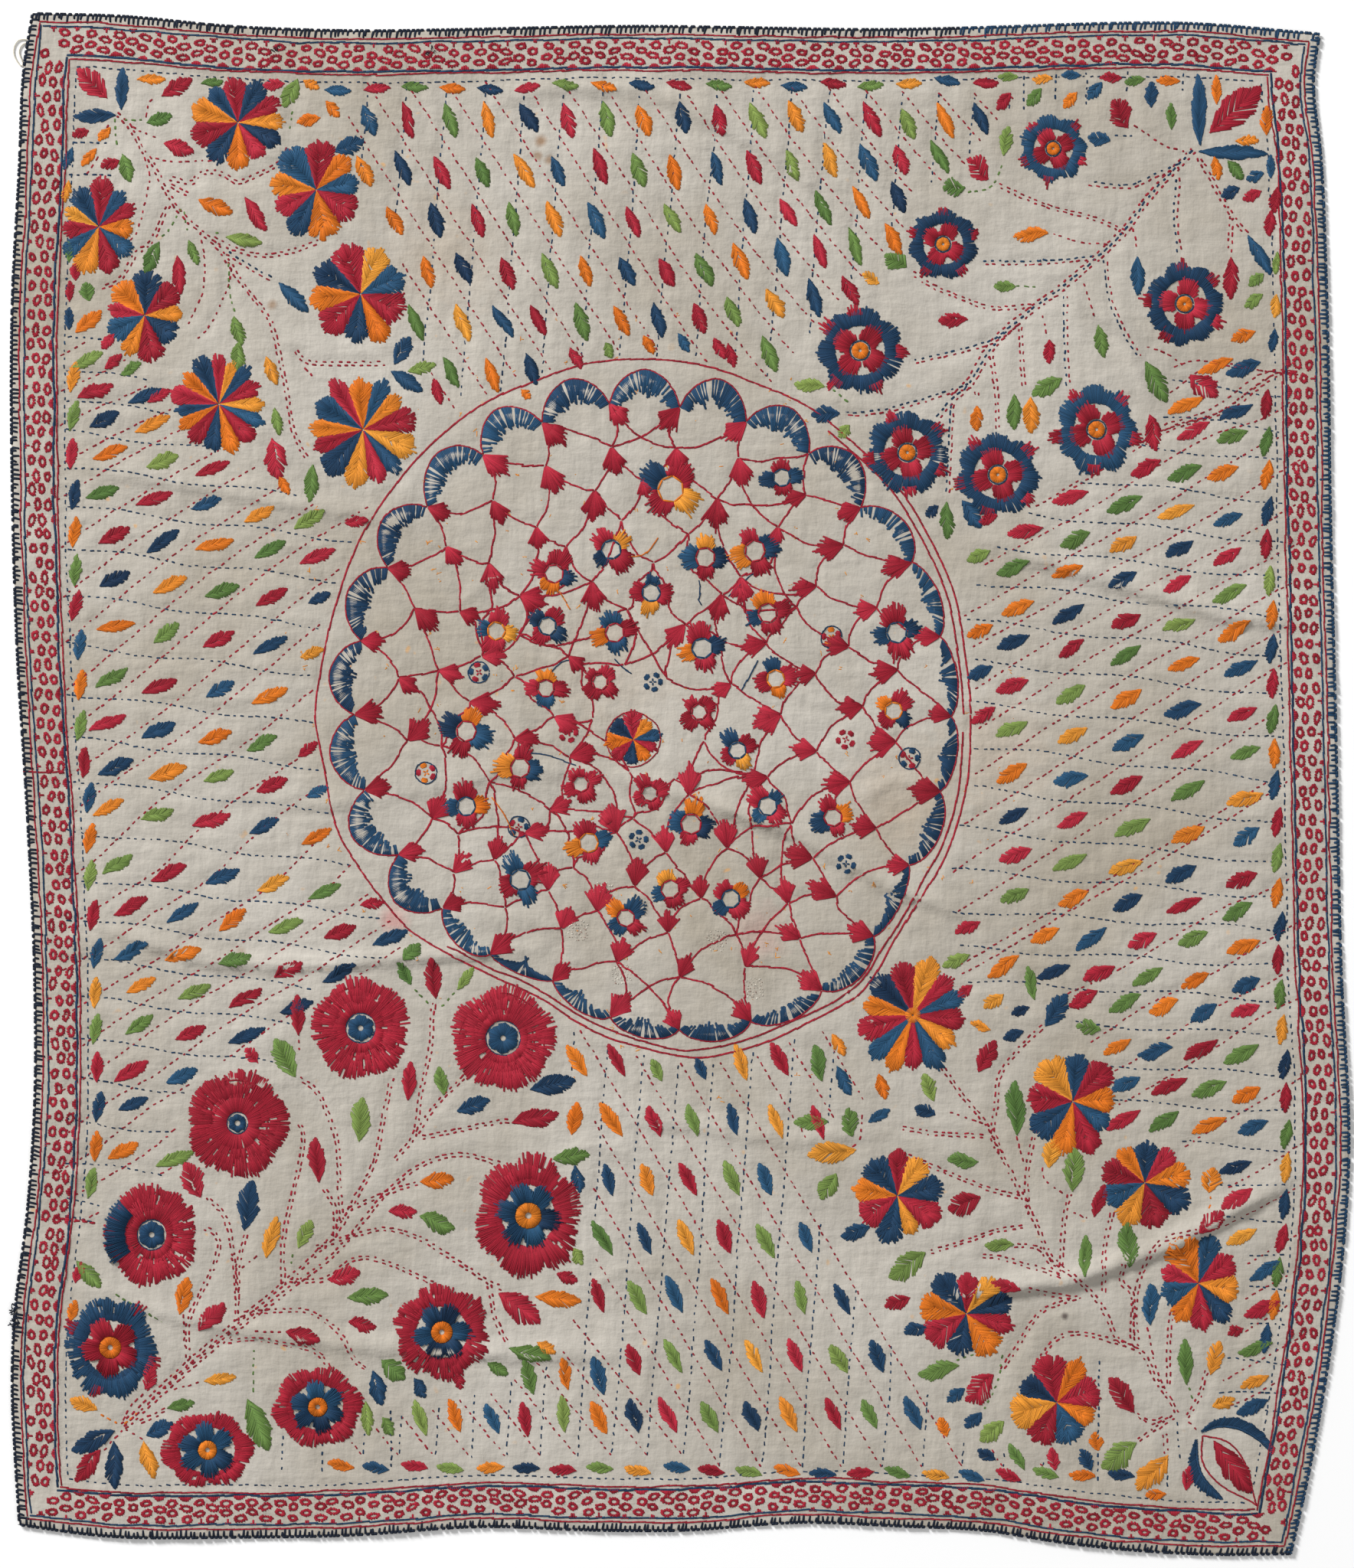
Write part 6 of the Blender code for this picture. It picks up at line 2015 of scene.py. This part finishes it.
def cotton_material():
    """Old plain-woven cotton: slubs along both threads, faint stains, and orange and brown specks."""
    material = Material("old_cotton")
    noise = material.noise
    span = material.span
    combine = material.combine
    # Broad change from cleaner to more soiled cloth.
    base = material.ramp(span(noise(5.5, 4.0, roughness=0.6), 0.34, 0.66, 0.0, 1.0), *SOILING)
    warp = span(noise(260.0, 2.0, ALONG_Y, 0.7), 0.3, 0.7, 0.955, 1.045)
    weft = span(noise(260.0, 2.0, ALONG_X, 0.7), 0.3, 0.7, 0.955, 1.045)
    cloudy = span(noise(60.0, 3.0), 0.3, 0.7, 0.96, 1.04)
    toned = material.scaled(base, combine(combine(warp, weft), cloudy))
    specks = span(noise(115.0, 1.0), 0.735, 0.80, 0.0, 1.0)
    where = span(noise(9.0, 2.0), 0.48, 0.62, 0.0, 0.75)
    coloured = material.mixed(combine(specks, where), toned, (*SPECK, 1.0))
    wander = noise(130.0, 3.0)
    for x, y, reach, strength, tint in STAINS:
        centre = (x, y, CLOTH_THICKNESS)
        spot = material.add("ShaderNodeTexCoord")["Object"]
        away = material.add("ShaderNodeVectorMath", {0: spot, 1: centre}, operation="DISTANCE")["Value"]
        ragged = combine(away, span(wander, 0.0, 1.0, -0.45 * reach, 0.45 * reach), "ADD")
        coloured = material.mixed(span(ragged, 0.25 * reach, reach, strength, 0.0), coloured, (*tint, 1.0))
    threads = combine(noise(900.0, 1.0, (1.0, 0.25, 1.0)), noise(900.0, 1.0, (0.25, 1.0, 1.0)), "ADD")
    rumple = combine(noise(190.0, 3.0, (1.0, 0.45, 1.0)), noise(190.0, 3.0, (0.45, 1.0, 1.0)), "ADD")
    fine = material.bump(threads, 0.30, 0.00020)
    material.feed(material.shader, {
        "Base Color": coloured,
        "Normal": material.bump(rumple, 0.55, 0.0013, Normal=fine),
        "Roughness": 0.92,
        "Specular IOR Level": 0.15,
        "Sheen Weight": 0.10,
        "Sheen Roughness": 0.6,
    })
    return material.data


def plain_material(name, colour):
    """A plain matt material for the floor."""
    material = Material(name)
    material.feed(material.shader, {
        "Base Color": (*colour, 1.0),
        "Roughness": 0.9,
        "Specular IOR Level": 0.0,
    })
    return material.data


# Thread colours: darkest, middle and lightest dye, and the name of the material.
THREADS = {
    RED: ((0.235, 0.007, 0.018), (0.300, 0.010, 0.025), (0.370, 0.017, 0.036), "red_thread"),
    BLUE: ((0.006, 0.024, 0.060), (0.010, 0.044, 0.098), (0.017, 0.072, 0.145), "blue_thread"),
    NAVY: ((0.004, 0.008, 0.020), (0.006, 0.012, 0.026), (0.010, 0.022, 0.044), "navy_thread"),
    ORANGE: ((0.530, 0.119, 0.006), (0.590, 0.152, 0.010), (0.610, 0.257, 0.029), "orange_thread"),
    GREEN: ((0.070, 0.140, 0.032), (0.110, 0.190, 0.044), (0.190, 0.260, 0.060), "green_thread"),
    COTTON: ((0.340, 0.220, 0.180), (0.560, 0.500, 0.420), (0.680, 0.640, 0.560), "cotton_thread"),
}

LOOP_DIAMETER = 0.0008
LOOP_HEIGHT = 0.00045
LOOP_ROUTE = (
    (-0.4094, 0.4669), (-0.4118, 0.4671), (-0.4147, 0.4664), (-0.4169, 0.4637), (-0.4178, 0.4598),
    (-0.4172, 0.4563), (-0.4155, 0.4532), (-0.4138, 0.4510), (-0.4124, 0.4506), (-0.4121, 0.4522),
    (-0.4128, 0.4543), (-0.4138, 0.4566), (-0.4143, 0.4594), (-0.4135, 0.4622), (-0.4118, 0.4641),
    (-0.4097, 0.4648),
)


def loop_material():
    """Twisted off-white cotton thread."""
    material = Material("cotton_thread")
    twist = material.noise(1400.0)
    material.feed(material.shader, {
        "Base Color": material.ramp(twist, (0.3, (0.52, 0.47, 0.38)), (0.7, (0.72, 0.68, 0.58))),
        "Normal": material.bump(twist, 0.5, 0.0002),
        "Roughness": 0.85,
    })
    return material.data


def make_loop():
    """The cotton thread loop beside the corner, lying on the floor."""
    curve = bpy.data.curves.new("thread_loop", "CURVE")
    curve.dimensions = "3D"
    curve.bevel_depth = 0.5 * LOOP_DIAMETER
    curve.bevel_resolution = 3
    curve.use_fill_caps = True
    spline = curve.splines.new("POLY")
    route = smooth_path(LOOP_ROUTE, 0.0008)
    spline.points.add(len(route) - 1)
    for point, (x, y) in zip(spline.points, route):
        point.co = (x, y, LOOP_HEIGHT, 1.0)
    curve.materials.append(loop_material())
    loop = linked("thread_loop", curve)
    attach(loop, "root")
    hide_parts("hanging_loop")


# ================================================================ the object

cloth_low, cloth_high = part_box("kantha_cloth")
sides = sides_of(rim_of(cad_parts["kantha_cloth"]))
lay_out(sides)
surface = surface_of(cloth_low, cloth_high)

cloth = make_cloth(sides, surface, cloth_low, cloth_high)
cloth.data.materials.append(cotton_material())
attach(cloth, "root")
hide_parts("kantha_cloth")

thread_materials = {colour: thread_material(slot, *tones) for colour, (*tones, slot) in THREADS.items()}
stitch_noise = np.random.default_rng(11)
for (piece, colour), parts in sorted(SEWING.items()):
    stitches = make_stitches(f"{piece}_{colour}", np.vstack(parts), surface, sides, stitch_noise)
    stitches.data.materials.append(thread_materials[colour])
    flat_map(stitches, cloth_low, cloth_high)
    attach(stitches, "root")

make_loop()

# ================================================================ floor, light and camera

FLOOR_SIZE = 14.0
# A hair below the cloth, so that the two don't share a plane.
FLOOR_LEVEL = -0.0002
FLOOR_COLOUR = (0.93, 0.93, 0.93)
WORLD_LIGHT = 0.42
# Softboxes: name, place, size and power; each is aimed at the cloth's middle.
SOFTBOXES = (
    ("key", (-6.0, 6.4, 4.6), 2.2, 1350.0),
    ("fill", (5.0, -4.0, 6.0), 5.0, 90.0),
)
CAMERA_HEIGHT = 3.0
CAMERA_X = -0.0018
VIEW_LENGTH = 0.98304

scene = bpy.context.scene
scene.view_settings.view_transform = "Standard"

floor_corners = np.array([[-1, -1, 0], [1, -1, 0], [1, 1, 0], [-1, 1, 0]]) * 0.5 * FLOOR_SIZE
floor = mesh_object("floor", floor_corners, [(0, 1, 2, 3)], smooth=False)
floor.location.z = FLOOR_LEVEL
floor.data.materials.append(plain_material("floor_white", FLOOR_COLOUR))

for name, spot, size, power in SOFTBOXES:
    light = bpy.data.lights.new(name, "AREA")
    light.shape = "SQUARE"
    light.size = size
    light.energy = power
    lamp = linked(name, light)
    lamp.location = spot
    lamp.rotation_euler = (-mathutils.Vector(spot)).to_track_quat("-Z", "Y").to_euler()

world = bpy.data.worlds.new("studio")
world.use_nodes = True
background = world.node_tree.nodes["Background"]
background.inputs["Color"].default_value = (1.0, 1.0, 1.0, 1.0)
background.inputs["Strength"].default_value = WORLD_LIGHT
scene.world = world

camera_data = bpy.data.cameras.new("camera")
camera_data.sensor_fit = "AUTO"
camera_data.angle = 2 * math.atan(0.5 * VIEW_LENGTH / CAMERA_HEIGHT)
camera_data.clip_end = 60.0
camera = linked("camera", camera_data)
camera.location = (CAMERA_X, 0.0, CAMERA_HEIGHT + CLOTH_THICKNESS)
scene.camera = camera
